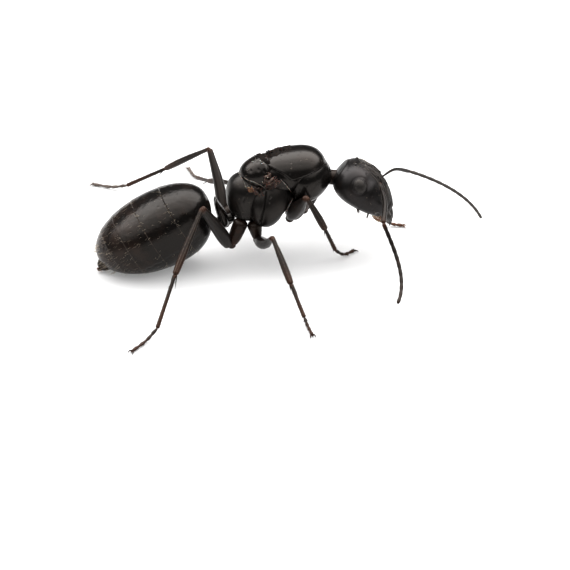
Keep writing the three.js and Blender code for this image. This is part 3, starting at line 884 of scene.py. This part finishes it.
class ANT_OT_head(AntStep):
    """Head capsule with its face ridges, feeler sockets and three small eyes, and the front plate"""
    bl_idname = "ant.head"
    bl_label = "Head"
    # Fine ridges of the face on its right: shares of the length from the middle and turns round the head.
    RIDGES = (((-0.4, 1.57), (-0.1, 1.57), (0.25, 1.62), (0.55, 1.86), (0.8, 2.2)),
              ((-0.5, 1.65), (-0.15, 1.67), (0.2, 1.74), (0.5, 2.02), (0.78, 2.45)),
              ((-0.42, 1.74), (-0.12, 1.77), (0.16, 1.84), (0.42, 2.12), (0.7, 2.6)),
              ((-0.46, 1.83), (-0.14, 1.87), (0.12, 1.94), (0.32, 2.2), (0.6, 2.72)),
              ((-0.36, 1.93), (-0.12, 1.97), (0.06, 2.02), (0.2, 2.12), (0.3, 2.26)))
    RIDGE_RADII = (0.008, 0.024, 0.027, 0.024, 0.008)

    def build(self):
        piece("head_shell", HEAD_EGG.form(130, 180), "head shell", ["head"])
        ridges = joined(self.ridge(line, sign) for line in self.RIDGES for sign in SIDES.values())
        # Their pale finish paints the highlights that run along the ridges.
        piece("face_ridges", ridges, "crest")
        small_eyes = joined(self.small_eye(back, out) for back, out in ((0, 0), (1, 1), (1, -1)))
        piece("small_eyes", small_eyes, "lens")
        plate = Egg(dict(CLYPEUS, at=in_head(CLYPEUS["at"]), turn=HEAD["turn"], pitch=HEAD["pitch"],
                         roll=HEAD["roll"]), clypeus_relief)
        piece("clypeus_plate", plate.form(60, 90), "face", ["clypeus"])

    def ridge(self, line, sign):
        shares, turn = spline(line, np.linspace(0, 1, 14)).T
        turn = turn if sign < 0 else np.pi - turn
        path = [HEAD_EGG.at_points(np.array([a]), np.array([b]))[0] for a, b in zip(shares, turn)]
        return Tube(path, self.RIDGE_RADII).form(70, 8, 2)

    def small_eye(self, back, out):
        radius = OCELLI["radius"]
        x, y = OCELLI["at"] - back * OCELLI["back"], out * OCELLI["spread"]
        return lump(in_head((x, y, HEAD_EGG.over(x, y) - 0.3 * radius)), [radius] * 3, HEAD_EGG.turned)


class ANT_OT_eyes(AntStep):
    """Compound eyes, each a low dome of facets"""
    bl_idname = "ant.eyes"
    bl_label = "Eyes"

    def build(self):
        for side, sign in SIDES.items():
            turned = HEAD_EGG.turned @ rotation(roll=-sign * EYE["tilt"]) @ rotation(turn=sign * EYE["spin"])
            dome = lump(in_head(EYE["at"], sign), EYE["radii"], turned, 40, 64)
            piece(f"eye_dome_{side}", dome, "eye", [f"eye_{side}"])


class ANT_OT_mouth(AntStep):
    """Toothed mandibles, the mouthparts between them and their jointed palps"""
    bl_idname = "ant.mouth"
    bl_label = "Mouth"
    # Places on the head's left side. The mandible's edges run from its root to its tip.
    OUTER_EDGE = ((1.25, 0.8, -0.06), (1.66, 0.79, -0.05), (2.02, 0.64, -0.14), (2.28, 0.32, -0.37),
                  (2.32, 0.03, -0.62))
    INNER_EDGE = ((1.25, 0.42, -0.16), (1.45, 0.38, -0.24), (1.62, 0.26, -0.38), (1.78, 0.1, -0.52),
                  (1.98, 0.0, -0.66))
    HALF_THICKNESS = (0.22, 0.23, 0.2, 0.14, 0.06)
    MIDDLE_TOOTH = (2.02, 0.04, -0.6)
    TEETH = 6
    # Each palp: its path, radius and number of joints.
    PALPS = ((((1.1, 0.3, -0.62), (1.35, 0.36, -0.72), (1.62, 0.32, -0.74), (1.88, 0.2, -0.68)), 0.065, 6),
             (((1.35, 0.12, -0.66), (1.6, 0.14, -0.74), (1.82, 0.1, -0.74)), 0.05, 4))

    def build(self):
        for side, sign in SIDES.items():
            piece(f"mandible_blade_{side}", self.mandible(sign), "face", [f"mandible_{side}"])
        parts = [lump(in_head((1.6, 0, -0.5)), (0.42, 0.4, 0.19), HEAD_EGG.turned, 24, 36)]
        for sign in SIDES.values():
            for path, radius, joints in self.PALPS:
                beads = np.concatenate([np.tile([0.62, 1.0, 0.9], joints), [0.4]]) * radius
                parts.append(Tube([in_head(p, sign) for p in path], beads).form(joints * 8, 12, 3))
            parts.append(lump(in_head((1.3, 0.34, -0.58), sign), (0.34, 0.16, 0.13), HEAD_EGG.turned))
        piece("mouthparts_and_palps", joined(parts), "mouth", ["mouthparts"])

    def mandible(self, sign):
        """A curved blade that widens to a toothed inner edge."""
        shares = np.linspace(0, 1, 26)
        lines = self.OUTER_EDGE, self.INNER_EDGE, self.HALF_THICKNESS
        a, b, half = (spline(line, shares) for line in lines)
        middle, reach = (a + b) / 2, (a - b) / 2
        across = unit(reach)
        along = unit(np.gradient(middle, axis=0))
        over = np.cross(along, across)
        angle = turns(28)
        groove = 1 - 0.05 * np.cos(9 * angle)
        rings = (middle[:, None] + reach[:, None] * np.cos(angle)[None, :, None]
                 + over[:, None] * (half[:, None] * np.sin(angle) * groove)[..., None])
        blade = closed_form(middle[0] - along[0] * 0.1, rings, middle[-1] + along[-1] * 0.02, shares)
        edge = spline([self.INNER_EDGE[-2], self.MIDDLE_TOOTH, self.OUTER_EDGE[-1]],
                      np.linspace(0.02, 0.98, self.TEETH))
        for n, root in enumerate(edge):
            longer = 1.4 if n == self.TEETH - 1 else 1.0
            tip = root + np.array([0.06, -0.1, -0.08]) * longer
            blade = blade + Tube([root - (tip - root) * 0.4, root, tip], [0.07, 0.065, 0.012]).form(8, 10, 3)
        blade.points = blade.points + [-0.03, 0, 0.11]
        blade = blade.for_side(sign)
        blade.points = HEAD_EGG.in_ant(blade.points)
        return blade


def feeler_tubes():
    """The scape and the funiculus of each feeler."""
    tubes = {}
    for side, sign in SIDES.items():
        feeler = FEELERS[side]
        socket = in_head(FEELER_SOCKET, sign)
        elbow = reach_from(socket, feeler["scape"], sign)
        middle = (socket + elbow) / 2 + np.array(feeler["bow"])
        scape = Tube([socket, middle, elbow], np.array(SCAPE_RADII) * feeler["girth"])
        path = [elbow]
        for k in range(FUNICULUS_JOINTS):
            share = k / (FUNICULUS_JOINTS - 1)
            turn, lift = (a + (b - a) * share for a, b in zip(feeler["start"], feeler["end"]))
            path.append(reach_from(path[-1], (feeler["funiculus"] / FUNICULUS_JOINTS, turn, lift), sign))
        beads = [r * (1 - 0.012 * k) for k in range(FUNICULUS_JOINTS) for r in BEAD_RADII]
        tubes[side] = scape, Tube(path, np.array(beads + [0.05]) * feeler["beads"])
    return tubes


class ANT_OT_feelers(AntStep):
    """Elbowed feelers: a long bowed scape and eleven short beads"""
    bl_idname = "ant.feelers"
    bl_label = "Feelers"

    def build(self):
        for side, (scape, funiculus) in feeler_tubes().items():
            piece(f"scape_stalk_{side}", scape.form(50, 18), "femur", [f"scape_{side}"])
            nodes = [f"funiculus_{part}_{side}" for part in ("base", "middle", "tip")]
            kind = "feeler" if side == "right" else "pale feeler"
            piece(f"funiculus_beads_{side}", funiculus.form(150, 16), kind, nodes)


class ANT_OT_trunk(AntStep):
    """Plates of the trunk with their seams, and the neck"""
    bl_idname = "ant.trunk"
    bl_label = "Trunk"
    # Each plate: its piece, shape, relief, finish, CAD nodes, and rings along it and points round it.
    PLATES = (
        ("mesoscutum_dome", MESOSCUTUM, mesoscutum_relief, "shell", ["mesoscutum"], (100, 150)),
        ("scutellum_plate", SCUTELLUM, scutellum_relief, "shell", ["scutellum"], (70, 100)),
        ("metanotum_strip", METANOTUM, None, "shell", [], (40, 90)),
        ("mesopleura_plates", MESOPLEURA, mesopleura_relief, "side",
         ["mesopleuron_left", "mesopleuron_right"], (170, 300)),
        ("pronotum_plate", PRONOTUM, pronotum_relief, "shell", ["pronotum"], (90, 120)),
        ("propodeum_plate", PROPODEUM, propodeum_relief, "side", ["propodeum"], (100, 150)),
    )

    def build(self):
        for name, spec, relief, kind, nodes, fineness in self.PLATES:
            piece(name, Egg(spec, relief).form(*fineness), kind, nodes)
        radii = [NECK["radius"] * r for r in (1.15, 0.9, 0.82, 0.86, 1.0)]
        neck = Tube([NECK["start"], NECK["end"]], radii).form(30, 30)
        piece("neck_skin", neck, "coxa", ["neck"])


class ANT_OT_wing_roots(AntStep):
    """Ragged stumps where the wings broke off: torn skin, folds and thin edges"""
    bl_idname = "ant.wing_roots"
    bl_label = "Wing roots"
    # All places are on the left side. Each clump: knobs, place, spread, and least and greatest radius.
    CLUMPS = ((26, (-0.6, 1.0, 5.1), (0.16, 0.1, 0.3), 0.05, 0.12),
              (26, (-0.42, 1.08, 4.85), (0.3, 0.06, 0.2), 0.05, 0.11),
              (24, (-1.15, 0.96, 4.42), (0.24, 0.1, 0.22), 0.04, 0.09))
    SPOT = (26, (-1.53, 1.07, 4.62), (0.16, 0.04, 0.17), 0.018, 0.05)
    # Lowest and uppermost fold of the fore root, each from its lower to its upper end.
    FOLDS = (((-0.74, 1.12, 4.88), (-0.25, 1.26, 5.35)), ((-0.49, 1.24, 4.59), (0.04, 1.42, 5.1)))
    # Thin edges of skin beside the roots, pale partly by their own skin and partly by a painted highlight
    # along them.
    EDGES = (((-1.88, 0.17, 5.17), (-1.67, 0.68, 5.05), (-1.33, 0.92, 4.97), (-0.96, 1.02, 4.78),
              (-0.69, 1.08, 4.53)),
             ((-1.93, -0.1, 5.06), (-1.92, 0.15, 5.02), (-1.82, 0.54, 4.92), (-1.72, 0.96, 4.6)),
             ((0.03, 1.4, 5.24), (0.3, 1.47, 4.89), (0.5, 1.45, 4.6), (0.61, 1.42, 4.41)),
             ((0.75, 1.3, 3.97), (0.5, 1.36, 3.55), (0.25, 1.4, 3.08)))

    def build(self):
        rng = np.random.default_rng(7)
        parts = [scatter(rng, *clump) for clump in self.CLUMPS]
        (a, b), (c, d) = (np.array(ends) for ends in self.FOLDS)
        for share in np.linspace(0, 1, 9):
            low, high = a + (c - a) * share, b + (d - b) * share
            middle = (low + high) / 2 + rng.normal(0, 0.03, 3) + [0, 0.1, 0]
            path = [low + rng.normal(0, 0.05, 3), middle, high + rng.normal(0, 0.07, 3)]
            radii = np.array([0.012, 0.035, 0.05, 0.04, 0.012]) * rng.uniform(0.75, 1.15, 5)
            parts.append(Tube(path, radii).form(30, 12, 2))
        for n in range(4):
            root = np.array([-1.4 + 0.13 * n, 1.05 + 0.04 * n, 4.6]) + rng.normal(0, 0.03, 3)
            path = [root, root + [0.1, 0.08, -0.2], root + [0.24, 0.06, -0.42]]
            parts.append(Tube(path, [0.03, 0.055, 0.03]).form(16, 10, 3))
        spot = scatter(rng, *self.SPOT)
        edges = joined(Tube(path, [0.012, 0.024, 0.028, 0.022, 0.01]).form(60, 8, 2) for path in self.EDGES)
        root = joined(parts)
        for side, sign in SIDES.items():
            piece(f"wing_root_{side}", root.for_side(sign), "membrane", [f"wing_stump_{side}"])
            piece(f"wing_spot_{side}", spot.for_side(sign), "tan")
            # The edges' pale colour is partly their skin and partly a painted highlight.
            piece(f"skin_edges_{side}", edges.for_side(sign), "edge")


class ANT_OT_scars(AntStep):
    """Dried crust and flakes of skin where the trunk's top plates meet"""
    bl_idname = "ant.scars"
    bl_label = "Dried flakes"
    # Each clump of crumbs: its place and spread.
    CRUMBS = (((-0.7, -0.05, 5.84), (0.14, 0.3, 0.05)), ((-0.1, 0.1, 6.07), (0.3, 0.3, 0.03)),
              ((0.5, 0.15, 6.18), (0.2, 0.1, 0.02)))
    # Each group of pale flakes: its place, how many, and how far they spread.
    FLAKES = (((-1.24, -0.22, 5.82), 2, 0.03), ((-0.88, -0.42, 5.93), 2, 0.03),
              ((-0.76, -0.6, 5.86), 3, 0.05), ((-0.52, -0.56, 5.84), 2, 0.05),
              ((-0.88, -1.1, 5.0), 1, 0.03), ((-0.62, -1.2, 5.3), 1, 0.03))

    def build(self):
        rng = np.random.default_rng(5)

        def crust(spec, relief, inside):
            """A rough skin over part of a plate, sunk into it elsewhere."""
            egg = Egg(spec, relief)

            def offset(t, angle):
                x, y, z = np.moveaxis(egg.smooth(t, angle), -1, 0)
                rough = 0.018 * ruffle(x, y, z, 16) + rng.normal(0, 0.009, x.shape)
                cover = inside(t, angle) + 0.0 * x
                return cover * (0.016 + rough) - 0.07 * (1 - cover)
            return egg.form(150, 200, (-0.97, 0.97), offset)

        def on_dome(t, angle):
            near = np.interp(t, [-0.94, -0.85, -0.75, -0.62, -0.37, -0.05, 0.12],
                             [2.4, 2.1, 1.9, 1.84, 1.8, 1.58, 1.38])
            wave = 0.07 * np.sin(13 * t + 2) + 0.05 * np.sin(29 * t)
            return window(angle, 1.0 + wave, near + 0.4 * wave, 0.03) * step(0.1 + wave - t, 0.03)

        def on_scutellum(t, angle):
            start = np.interp(angle, [0.6, 1.27, 1.9, 2.2], [0.2, 0.28, 0.36, 0.5])
            return step(t - start, 0.02) * window(angle, 1.1, 2.15 + 0.6 * step(t - 0.6, 0.05), 0.05)

        parts = [crust(MESOSCUTUM, mesoscutum_relief, on_dome),
                 crust(SCUTELLUM, scutellum_relief, on_scutellum)]
        parts += [scatter(rng, 24, at, spread, 0.02, 0.05) for at, spread in self.CRUMBS]
        piece("dried_flakes", joined(parts), "crust")
        pale = joined(scatter(rng, count, at, (spread, spread * 0.3, spread * 0.5), 0.014, 0.032)
                      for at, count, spread in self.FLAKES)
        piece("pale_flakes", pale, "flake")


class ANT_OT_waist(AntStep):
    """The upright scale of the waist and its stalk"""
    bl_idname = "ant.waist"
    bl_label = "Waist"

    def build(self):
        scale = Egg(PETIOLE, petiole_relief).form(80, 90)
        stalk = Tube([(-2.2, 0, 2.52), (-2.7, 0, 2.42), (-3.5, 0, 2.15)], [0.27, 0.24, 0.27]).form(30, 30)
        piece("petiole_scale", scale + stalk, "shell", ["petiole"])


def gaster_egg():
    return Egg(GASTER, gaster_relief)


def over_floor(form):
    """Lifts what would reach to the floor."""
    form.points[:, 2] = np.maximum(form.points[:, 2], LEAST_HEIGHT)
    return form


class ANT_OT_gaster(AntStep):
    """Five overlapping rings of the hind body and its tip"""
    bl_idname = "ant.gaster"
    bl_label = "Gaster"

    def build(self):
        egg, lip = gaster_egg(), size("lip")
        for k, (first, last) in enumerate(zip(GASTER_RINGS, GASTER_RINGS[1:])):
            tuck = 0.03 if k else 0.0
            front, rear = 1 - 2 * (first - tuck), 1 - 2 * last

            def offset(t, angle, front=1 - 2 * first, rear=rear):
                share = np.clip((front - t) / (front - rear), 0, 1)
                rise = lip * (share ** 2 * 0.75 + 0.25 * step(share - 0.9, 0.04) - 0.4)
                return rise + 0 * angle

            form = egg.form(44 if k < 3 else 26, 170, (rear, front), offset)
            form.chart = [tuple((u, 1 - v) for u, v in corners) for corners in form.chart]
            piece(f"gaster_ring_{k + 1}", form, "gaster", [f"gaster_{k + 1}"])
        path = [(-9.0, 0, 0.72), (-9.35, -0.05, 0.46), (-9.62, -0.1, 0.19)]
        spout = Tube(path, [0.5, 0.47, 0.36, 0.2]).form(40, 50)
        rng = np.random.default_rng(2)
        spout.points = spout.points + rng.normal(0, 0.006, spout.points.shape)
        piece("gaster_tip", over_floor(spout), "gaster")
        fringe = scatter(rng, 26, (-9.66, -0.13, 0.2), (0.08, 0.12, 0.08), 0.02, 0.06)
        piece("gaster_tip_fringe", over_floor(fringe), "tip")


def leg_tubes():
    """For each leg, its lengths as tubes, from the hip to the toe."""
    legs = {}
    for name, leg in LEGS.items():
        side, girth, pair = np.sign(leg["hip"][1]), leg["girth"], name.split("_")[0]
        coxa_radii, femur_radii, tibia_radii = (
            np.array(radii) * girth for radii in (COXA_RADII[pair], FEMUR_RADII[pair], TIBIA_RADII))
        hip = np.array(leg["hip"], float)
        joint = reach_from(hip, leg["coxa"], side)
        knee = reach_from(joint, leg["femur"], side)
        ankle = reach_from(knee, leg["tibia"], side)
        heel = reach_from(ankle, leg["metatarsus"], side)
        toe = reach_from(heel, leg["tarsus"], side)
        toe[2] = TOE_HEIGHT
        low = heel + (toe - heel) * 0.45
        low[2] = heel[2] + (toe[2] - heel[2]) * 0.8
        bow = np.array([0, 0, 0.05])
        seat = joint + leg.get("seat", (0, 0, 0))
        hollow = lambda v, a: -0.07 * mound(np.cos(a) - 0.2, 0.14) * window(v, 0.12, 0.9, 0.05)
        legs[name] = {
            "coxa": Tube([hip, (hip + joint) / 2, joint], coxa_radii),
            "femur": Tube([seat, (seat + knee) / 2 + leg.get("bow", bow), knee], femur_radii,
                          FEMUR_FLATNESS[pair], hollow),
            "tibia": Tube([knee, (knee + ankle) / 2 + bow * 0.6, ankle], tibia_radii, TIBIA_FLATNESS),
            "metatarsus": Tube([ankle, (ankle + heel) / 2, heel], METATARSUS_RADII),
            "tarsus": Tube([heel, low, toe], TARSUS_BEAD * 4 + (0.065,)),
        }
    return legs


class ANT_OT_legs(AntStep):
    """Six legs, each with hip, thigh, shin, spurs, long first foot joint, small foot joints and claws"""
    bl_idname = "ant.legs"
    bl_label = "Legs"
    # Each length of a leg: its piece, finish, slot, and rings along it and points round it.
    LENGTHS = {
        "coxa": ("coxa_shell", "coxa", "leg_shell", (44, 36)),
        "femur": ("femur_shell", "femur", "leg_shell", (70, 36)),
        "tibia": ("tibia_shell", "tibia", "leg_shell", (60, 28)),
        "metatarsus": ("metatarsus_shell", "foot", "foot_shell", (44, 18)),
        "tarsus": ("tarsus_joints", "foot", "foot_shell", (80, 18)),
    }
    # The far feet get paler, greyer finishes than their own reddish brown: painted light of the bright floor
    # blurred over them.
    FAR_FEET = {"front_left": "pale foot", "middle_left": "grey foot", "hind_left": "grey foot"}

    def build(self):
        for name, tubes in leg_tubes().items():
            for part, (title, kind, slot, fineness) in self.LENGTHS.items():
                form = tubes[part].form(*fineness)
                if part == "femur":
                    self.trochanter(name, tubes)
                elif part == "tibia":
                    form = form + self.spurs(tubes[part], 0.5 if name.startswith("front") else 0.72)
                elif part == "tarsus":
                    form = form + self.claws(tubes[part])
                    kind = self.FAR_FEET.get(name, kind)
                piece(f"{title}_{name}", form, kind, [f"{part}_{name}"])

    def trochanter(self, name, tubes):
        """The small joint between hip and thigh."""
        (_, joint), (_, along), _, _ = tubes["coxa"].frames([0.0, 1.0])
        lead = unit(tubes["femur"].frames([0.0, 1.0])[0][1] - joint)
        knob = Tube([joint - along * 0.12, joint, joint + lead * 0.3], [0.2, 0.24, 0.22, 0.17])
        piece(f"trochanter_{name}", knob.form(20, 24), "joint")

    def spurs(self, tibia, long_spur):
        """A long and a short spur at the end of a shin."""
        ankle, along, across, over = (values[1] for values in tibia.frames([0.0, 1.0]))
        spurs = []
        for lean, length in ((0.3, long_spur), (-0.25, 0.34)):
            out = unit(along + across * lean * 0.6 - over * abs(lean))
            root = ankle - along * 0.02 + across * lean * 0.3
            path = [root, root + out * length * 0.5, root + out * length + along * 0.03]
            spurs.append(Tube(path, [0.032, 0.024, 0.005]).form(14, 8, 2))
        return joined(spurs)

    def claws(self, tarsus):
        """Two claws and the pad between them."""
        toe, along, across, _ = (values[1] for values in tarsus.frames([0.0, 1.0]))
        claws = []
        for sign in (-1, 1):
            root = toe - along * 0.05 + across * 0.03 * sign
            bend = root + along * 0.14 + across * 0.09 * sign + [0, 0, 0.02]
            tip = root + along * 0.26 + across * 0.13 * sign
            tip[2] = CLAW_HEIGHT
            claws.append(Tube([root, bend, tip], [0.04, 0.034, 0.008]).form(14, 8, 3))
        return joined(claws + [lump(toe + along * 0.07, (0.06, 0.06, 0.045), np.eye(3), 8, 12)])


def coat(rng, name, egg, t, angle, lean, lengths, girth):
    """A plate's hairs, leaning back along it; girth is a share of the usual radius."""
    out = egg.outward(t, angle) @ egg.turned.T
    back = -egg.turned[:, 0]
    lean = np.broadcast_to(lean, t.shape)[:, None]
    heading = unit(out * (1 - lean) + back * lean + rng.normal(0, 0.16, out.shape))
    places = np.stack([0.02 + 0.95 * (angle / FULL_TURN) % 0.95, 0.02 + 0.95 * (t + 1) / 2], -1)
    form = hairs(egg.at_points(t, angle) - heading * 0.02, heading, back * 0.3 - out * 0.2, lengths,
                 size("hair_radius") * girth, places)
    piece(name, form, "hair", chart_name="OFBake")


class ANT_OT_hair(AntStep):
    """Golden hairs of the body and dark bristles of the legs, each a small solid"""
    bl_idname = "ant.hair"
    bl_label = "Hair"
    # Each plate's coat: its piece, shape, relief, number of hairs, and least and greatest length.
    COATS = (("head_hairs", HEAD, head_relief, 70, (0.06, 0.13)),
             ("mesoscutum_hairs", MESOSCUTUM, mesoscutum_relief, 30, (0.06, 0.12)),
             ("scutellum_hairs", SCUTELLUM, scutellum_relief, 40, (0.08, 0.2)),
             ("propodeum_hairs", PROPODEUM, propodeum_relief, 40, (0.06, 0.12)))
    # Each length's bristles: how many, their greatest length against the usual, and how far they lean.
    LEG_COATS = (("femur", 40, 0.1, 0.1), ("tibia", 150, 0.55, 0.75), ("metatarsus", 150, 0.7, 0.8),
                 ("tarsus", 120, 0.7, 0.75))
    UNDER_HAIRS = 16

    def build(self):
        rng = np.random.default_rng(11)
        self.gaster_coats(rng)
        for name, spec, relief, count, lengths in self.COATS:
            t = rng.uniform(-0.8, 0.85, count)
            angle = rng.uniform(0.0, FULL_TURN, count)
            coat(rng, name, Egg(spec, relief), t, angle, rng.uniform(0.3, 0.8, count),
                 rng.uniform(*lengths, count), 0.45)
        crown, count = np.random.default_rng(21), 110
        t = crown.normal(-0.52, 0.14, count)
        angle = np.pi / 2 + crown.normal(0, 0.33, count)
        coat(rng, "crown_hairs", HEAD_EGG, t, angle, 0.6, crown.uniform(0.05, 0.12, count), 0.5)
        self.under_head(rng)
        for name, tubes in leg_tubes().items():
            self.leg_coat(rng, name, tubes)

    def gaster_coats(self, rng):
        """Hairs standing at the rings' rear edges, hairs lying all over, and a tuft at the tip."""
        egg = gaster_egg()
        count = 150
        rows = rng.choice(GASTER_RINGS[1:5], count) - rng.uniform(0.0, 0.03, count)
        angle = rng.uniform(0, FULL_TURN, count)
        coat(rng, "gaster_standing_hairs", egg, 1 - 2 * rows, angle, 0.35,
             rng.uniform(0.6, 1.15, count) * size("hair_length"), 0.5)
        count = 340
        t = 0.7 - 1.65 * rng.uniform(0, 1, count) ** 0.6
        angle = rng.uniform(0, FULL_TURN, count)
        coat(rng, "gaster_lying_hairs", egg, t, angle, 0.86, rng.uniform(0.12, 0.26, count), 0.32)
        count = 70
        t = rng.uniform(-0.99, -0.86, count)
        angle = rng.uniform(0, FULL_TURN, count)
        coat(rng, "gaster_tip_hairs", egg, t, angle, 0.6, rng.uniform(0.2, 0.45, count), 1)

    def under_head(self, rng):
        """Long bristles in four tufts under the head."""
        count = self.UNDER_HAIRS
        x = np.repeat([0.25, 0.88], count // 2) + rng.normal(0, 0.02, count)
        side = np.tile([1, -1], count // 2)
        low = HEAD_EGG.at_points(2 * x / HEAD["length"], np.radians(-90 + 41 * side))
        heading = unit(rng.normal(0, 0.3, (count, 3)) + [0, 0, -1])
        places = np.stack([0.75 + 0.11 * side, 0.5 + 0.3 * x], -1)
        form = hairs(low + [0, 0, 0.04], heading, 0 * heading, rng.uniform(0.34, 0.5, count), 0.027, places)
        piece("head_under_hairs", form, "bristle", chart_name="OFBake")

    def leg_coat(self, rng, name, tubes):
        """Bristles of one leg, joined in one piece."""
        roots, headings, lengths, places = [], [], [], []
        for column, (part, count, reach, lean) in enumerate(self.LEG_COATS):
            tube = tubes[part]
            v = rng.uniform(0.06, 0.96, count)
            angle = rng.uniform(0, FULL_TURN, count)
            skin = np.array([tube.at_points([a], [[b]])[0, 0] for a, b in zip(v, angle)])
            middle, along, _, _ = tube.frames(v)
            out = unit(skin - middle)
            roots.append(skin - out * 0.01)
            headings.append(out * (1 - lean * 0.75) + along * lean + rng.normal(0, 0.08, out.shape))
            lengths.append(rng.uniform(0.5, 1.0, count) * reach * size("bristle_length"))
            places.append(np.stack([(column + 0.02 + 0.95 * angle / FULL_TURN) / len(self.LEG_COATS),
                                    0.02 + 0.95 * v], -1))
        roots, headings, lengths, places = map(np.concatenate, (roots, headings, lengths, places))
        form = hairs(roots, headings, np.zeros_like(roots), lengths, size("hair_radius") * 0.8, places)
        piece(f"leg_bristles_{name}", form, "bristle", chart_name="OFBake")


class ANT_OT_stage(AntStep):
    """Pale floor, soft overhead light and the camera"""
    bl_idname = "ant.stage"
    bl_label = "Stage"
    # The camera's turn from the right side and its height, in degrees, its distance from the middle of the
    # ant in millimetres, and how far right of the middle and under it the camera looks.
    AZIMUTH, ELEVATION, DISTANCE = -12, 28, 150
    MIDDLE = (0, 0, 2.5)
    AIM_RIGHT, AIM_DOWN = 0.56, 3.92
    LENS, SENSOR = 175.26, 36
    # Metres: half the floor's width, and the softbox's height over the ant and its width.
    FLOOR_REACH, BOX_HEIGHT, BOX_WIDTH = 1.5, 0.35, 1.2
    # Strips of the overhead softbox, brighter behind: start and end in front of the ant, radiance.
    PANELS = ((-0.36, -0.06, 3.5), (-0.06, 0.09, 2.3), (0.09, 0.28, 1.35), (0.28, 0.42, 0.8))
    WATTS_PER_AREA = 3.82
    ROOM, BACKDROP = (0.06, 0.06, 0.062, 1), (0.95, 0.95, 0.95, 1)
    EXPOSURE, GAMMA = 0.4, 0.85

    def build(self):
        self.floor()
        camera = self.camera()
        back = camera.matrix_world.to_3x3() @ Vector((0, 0, 1))
        level = Vector((back.x, back.y, 0)).normalized()
        target = Vector(in_row(self.MIDDLE))
        for n, (near, far, radiance) in enumerate(self.PANELS):
            self.softbox(f"softbox_{n + 1}", target, level, near, far, radiance)
        self.world()

    def floor(self):
        shader = material_shader("pale_floor")
        place = shader.place()
        grain = shader.noise(place, 0.05, 2)
        tone = shader.mix(grain * 0.15, bpy.context.scene.ant_colours.floor, (0.45, 0.45, 0.45))
        material = shader.finish(tone, 0.6 + grain * 0.2, shader.noise(place, 2, 2) * 0.002,
                                 Emission_Color=(1, 1, 1, 1), Emission_Strength=0.24)
        mesh = bpy.data.meshes.new("floor")
        reach = self.FLOOR_REACH
        corners = [(-reach, -reach, 0), (reach, -reach, 0), (reach, reach, 0), (-reach, reach, 0)]
        mesh.from_pydata(corners, [], [(0, 1, 2, 3)])
        mesh.materials.append(material)
        floor = bpy.data.objects.new("floor", mesh)
        bpy.context.scene.collection.objects.link(floor)

    def camera(self):
        azimuth, elevation = np.radians(self.AZIMUTH), np.radians(self.ELEVATION)
        back = np.array([np.sin(azimuth) * np.cos(elevation), -np.cos(azimuth) * np.cos(elevation),
                         np.sin(elevation)])
        right = np.array([np.cos(azimuth), np.sin(azimuth), 0])
        up = np.cross(back, right)
        eye = Vector(in_row(self.MIDDLE + back * self.DISTANCE))
        aim = Vector(in_row(self.MIDDLE + right * self.AIM_RIGHT - up * self.AIM_DOWN))
        turned = (aim - eye).to_track_quat("-Z", "Y").to_matrix().to_4x4()
        data = bpy.data.cameras.new("camera")
        data.sensor_width = self.SENSOR
        data.lens = self.LENS
        data.clip_start = 0.01
        camera = bpy.data.objects.new("camera", data)
        camera.matrix_world = Matrix.Translation(eye) @ turned
        bpy.context.scene.collection.objects.link(camera)
        bpy.context.scene.camera = camera
        return camera

    def softbox(self, name, target, level, near, far, radiance):
        """A level panel over the ant, from one distance in front of it to another."""
        up = Vector((0, 0, 1))
        turned = Matrix((level.cross(up), level, up)).transposed().to_4x4()
        light = bpy.data.lights.new(name, "AREA")
        light.shape = "RECTANGLE"
        light.size, light.size_y = self.BOX_WIDTH, far - near
        light.energy = radiance * self.BOX_WIDTH * (far - near) * self.WATTS_PER_AREA
        lamp = bpy.data.objects.new(name, light)
        where = target + level * (near + far) / 2 + up * self.BOX_HEIGHT
        lamp.matrix_world = Matrix.Translation(where) @ turned
        bpy.context.scene.collection.objects.link(lamp)

    def world(self):
        """A dim room that lights the ant, behind a pale backdrop that only the camera sees."""
        scene = bpy.context.scene
        scene.world = bpy.data.worlds.new("room")
        shader = Shader(scene.world)
        room, seen = (shader.node("ShaderNodeBackground", {}, {"Color": colour})
                      for colour in (self.ROOM, self.BACKDROP))
        from_camera = shader.node("ShaderNodeLightPath", {}, {}, "Is Camera Ray")
        mixed = shader.node("ShaderNodeMixShader", {}, {0: from_camera, 1: room, 2: seen})
        shader.node("ShaderNodeOutputWorld", {}, {"Surface": mixed})
        scene.view_settings.view_transform = "Standard"
        scene.view_settings.exposure = self.EXPOSURE
        scene.view_settings.gamma = self.GAMMA


STEPS = (ANT_OT_head, ANT_OT_eyes, ANT_OT_mouth, ANT_OT_feelers, ANT_OT_trunk, ANT_OT_wing_roots,
         ANT_OT_scars, ANT_OT_waist, ANT_OT_gaster, ANT_OT_legs, ANT_OT_hair, ANT_OT_stage)


class ANT_PT_panel(bpy.types.Panel):
    """Lists the steps and sizes of the ant"""
    bl_label = "Ant Queen"
    bl_idname = "ANT_PT_panel"
    bl_space_type = "VIEW_3D"
    bl_region_type = "UI"
    bl_category = "Ant Queen"

    def draw(self, context):
        layout = self.layout
        for made in STEPS:
            layout.operator(made.bl_idname)
        for group in (context.scene.ant_sizes, context.scene.ant_colours):
            box = layout.box()
            for name in group.__annotations__:
                box.prop(group, name)


CLASSES = (AntColours, AntSizes, *STEPS, ANT_PT_panel)


def register():
    for made in CLASSES:
        bpy.utils.register_class(made)
    bpy.types.Scene.ant_colours = bpy.props.PointerProperty(type=AntColours)
    bpy.types.Scene.ant_sizes = bpy.props.PointerProperty(type=AntSizes)


def unregister():
    del bpy.types.Scene.ant_sizes
    del bpy.types.Scene.ant_colours
    for made in reversed(CLASSES):
        bpy.utils.unregister_class(made)


def main():
    register()
    for made in STEPS:
        group, name = made.bl_idname.split(".")
        getattr(getattr(bpy.ops, group), name)()


if __name__ == "__main__":
    main()
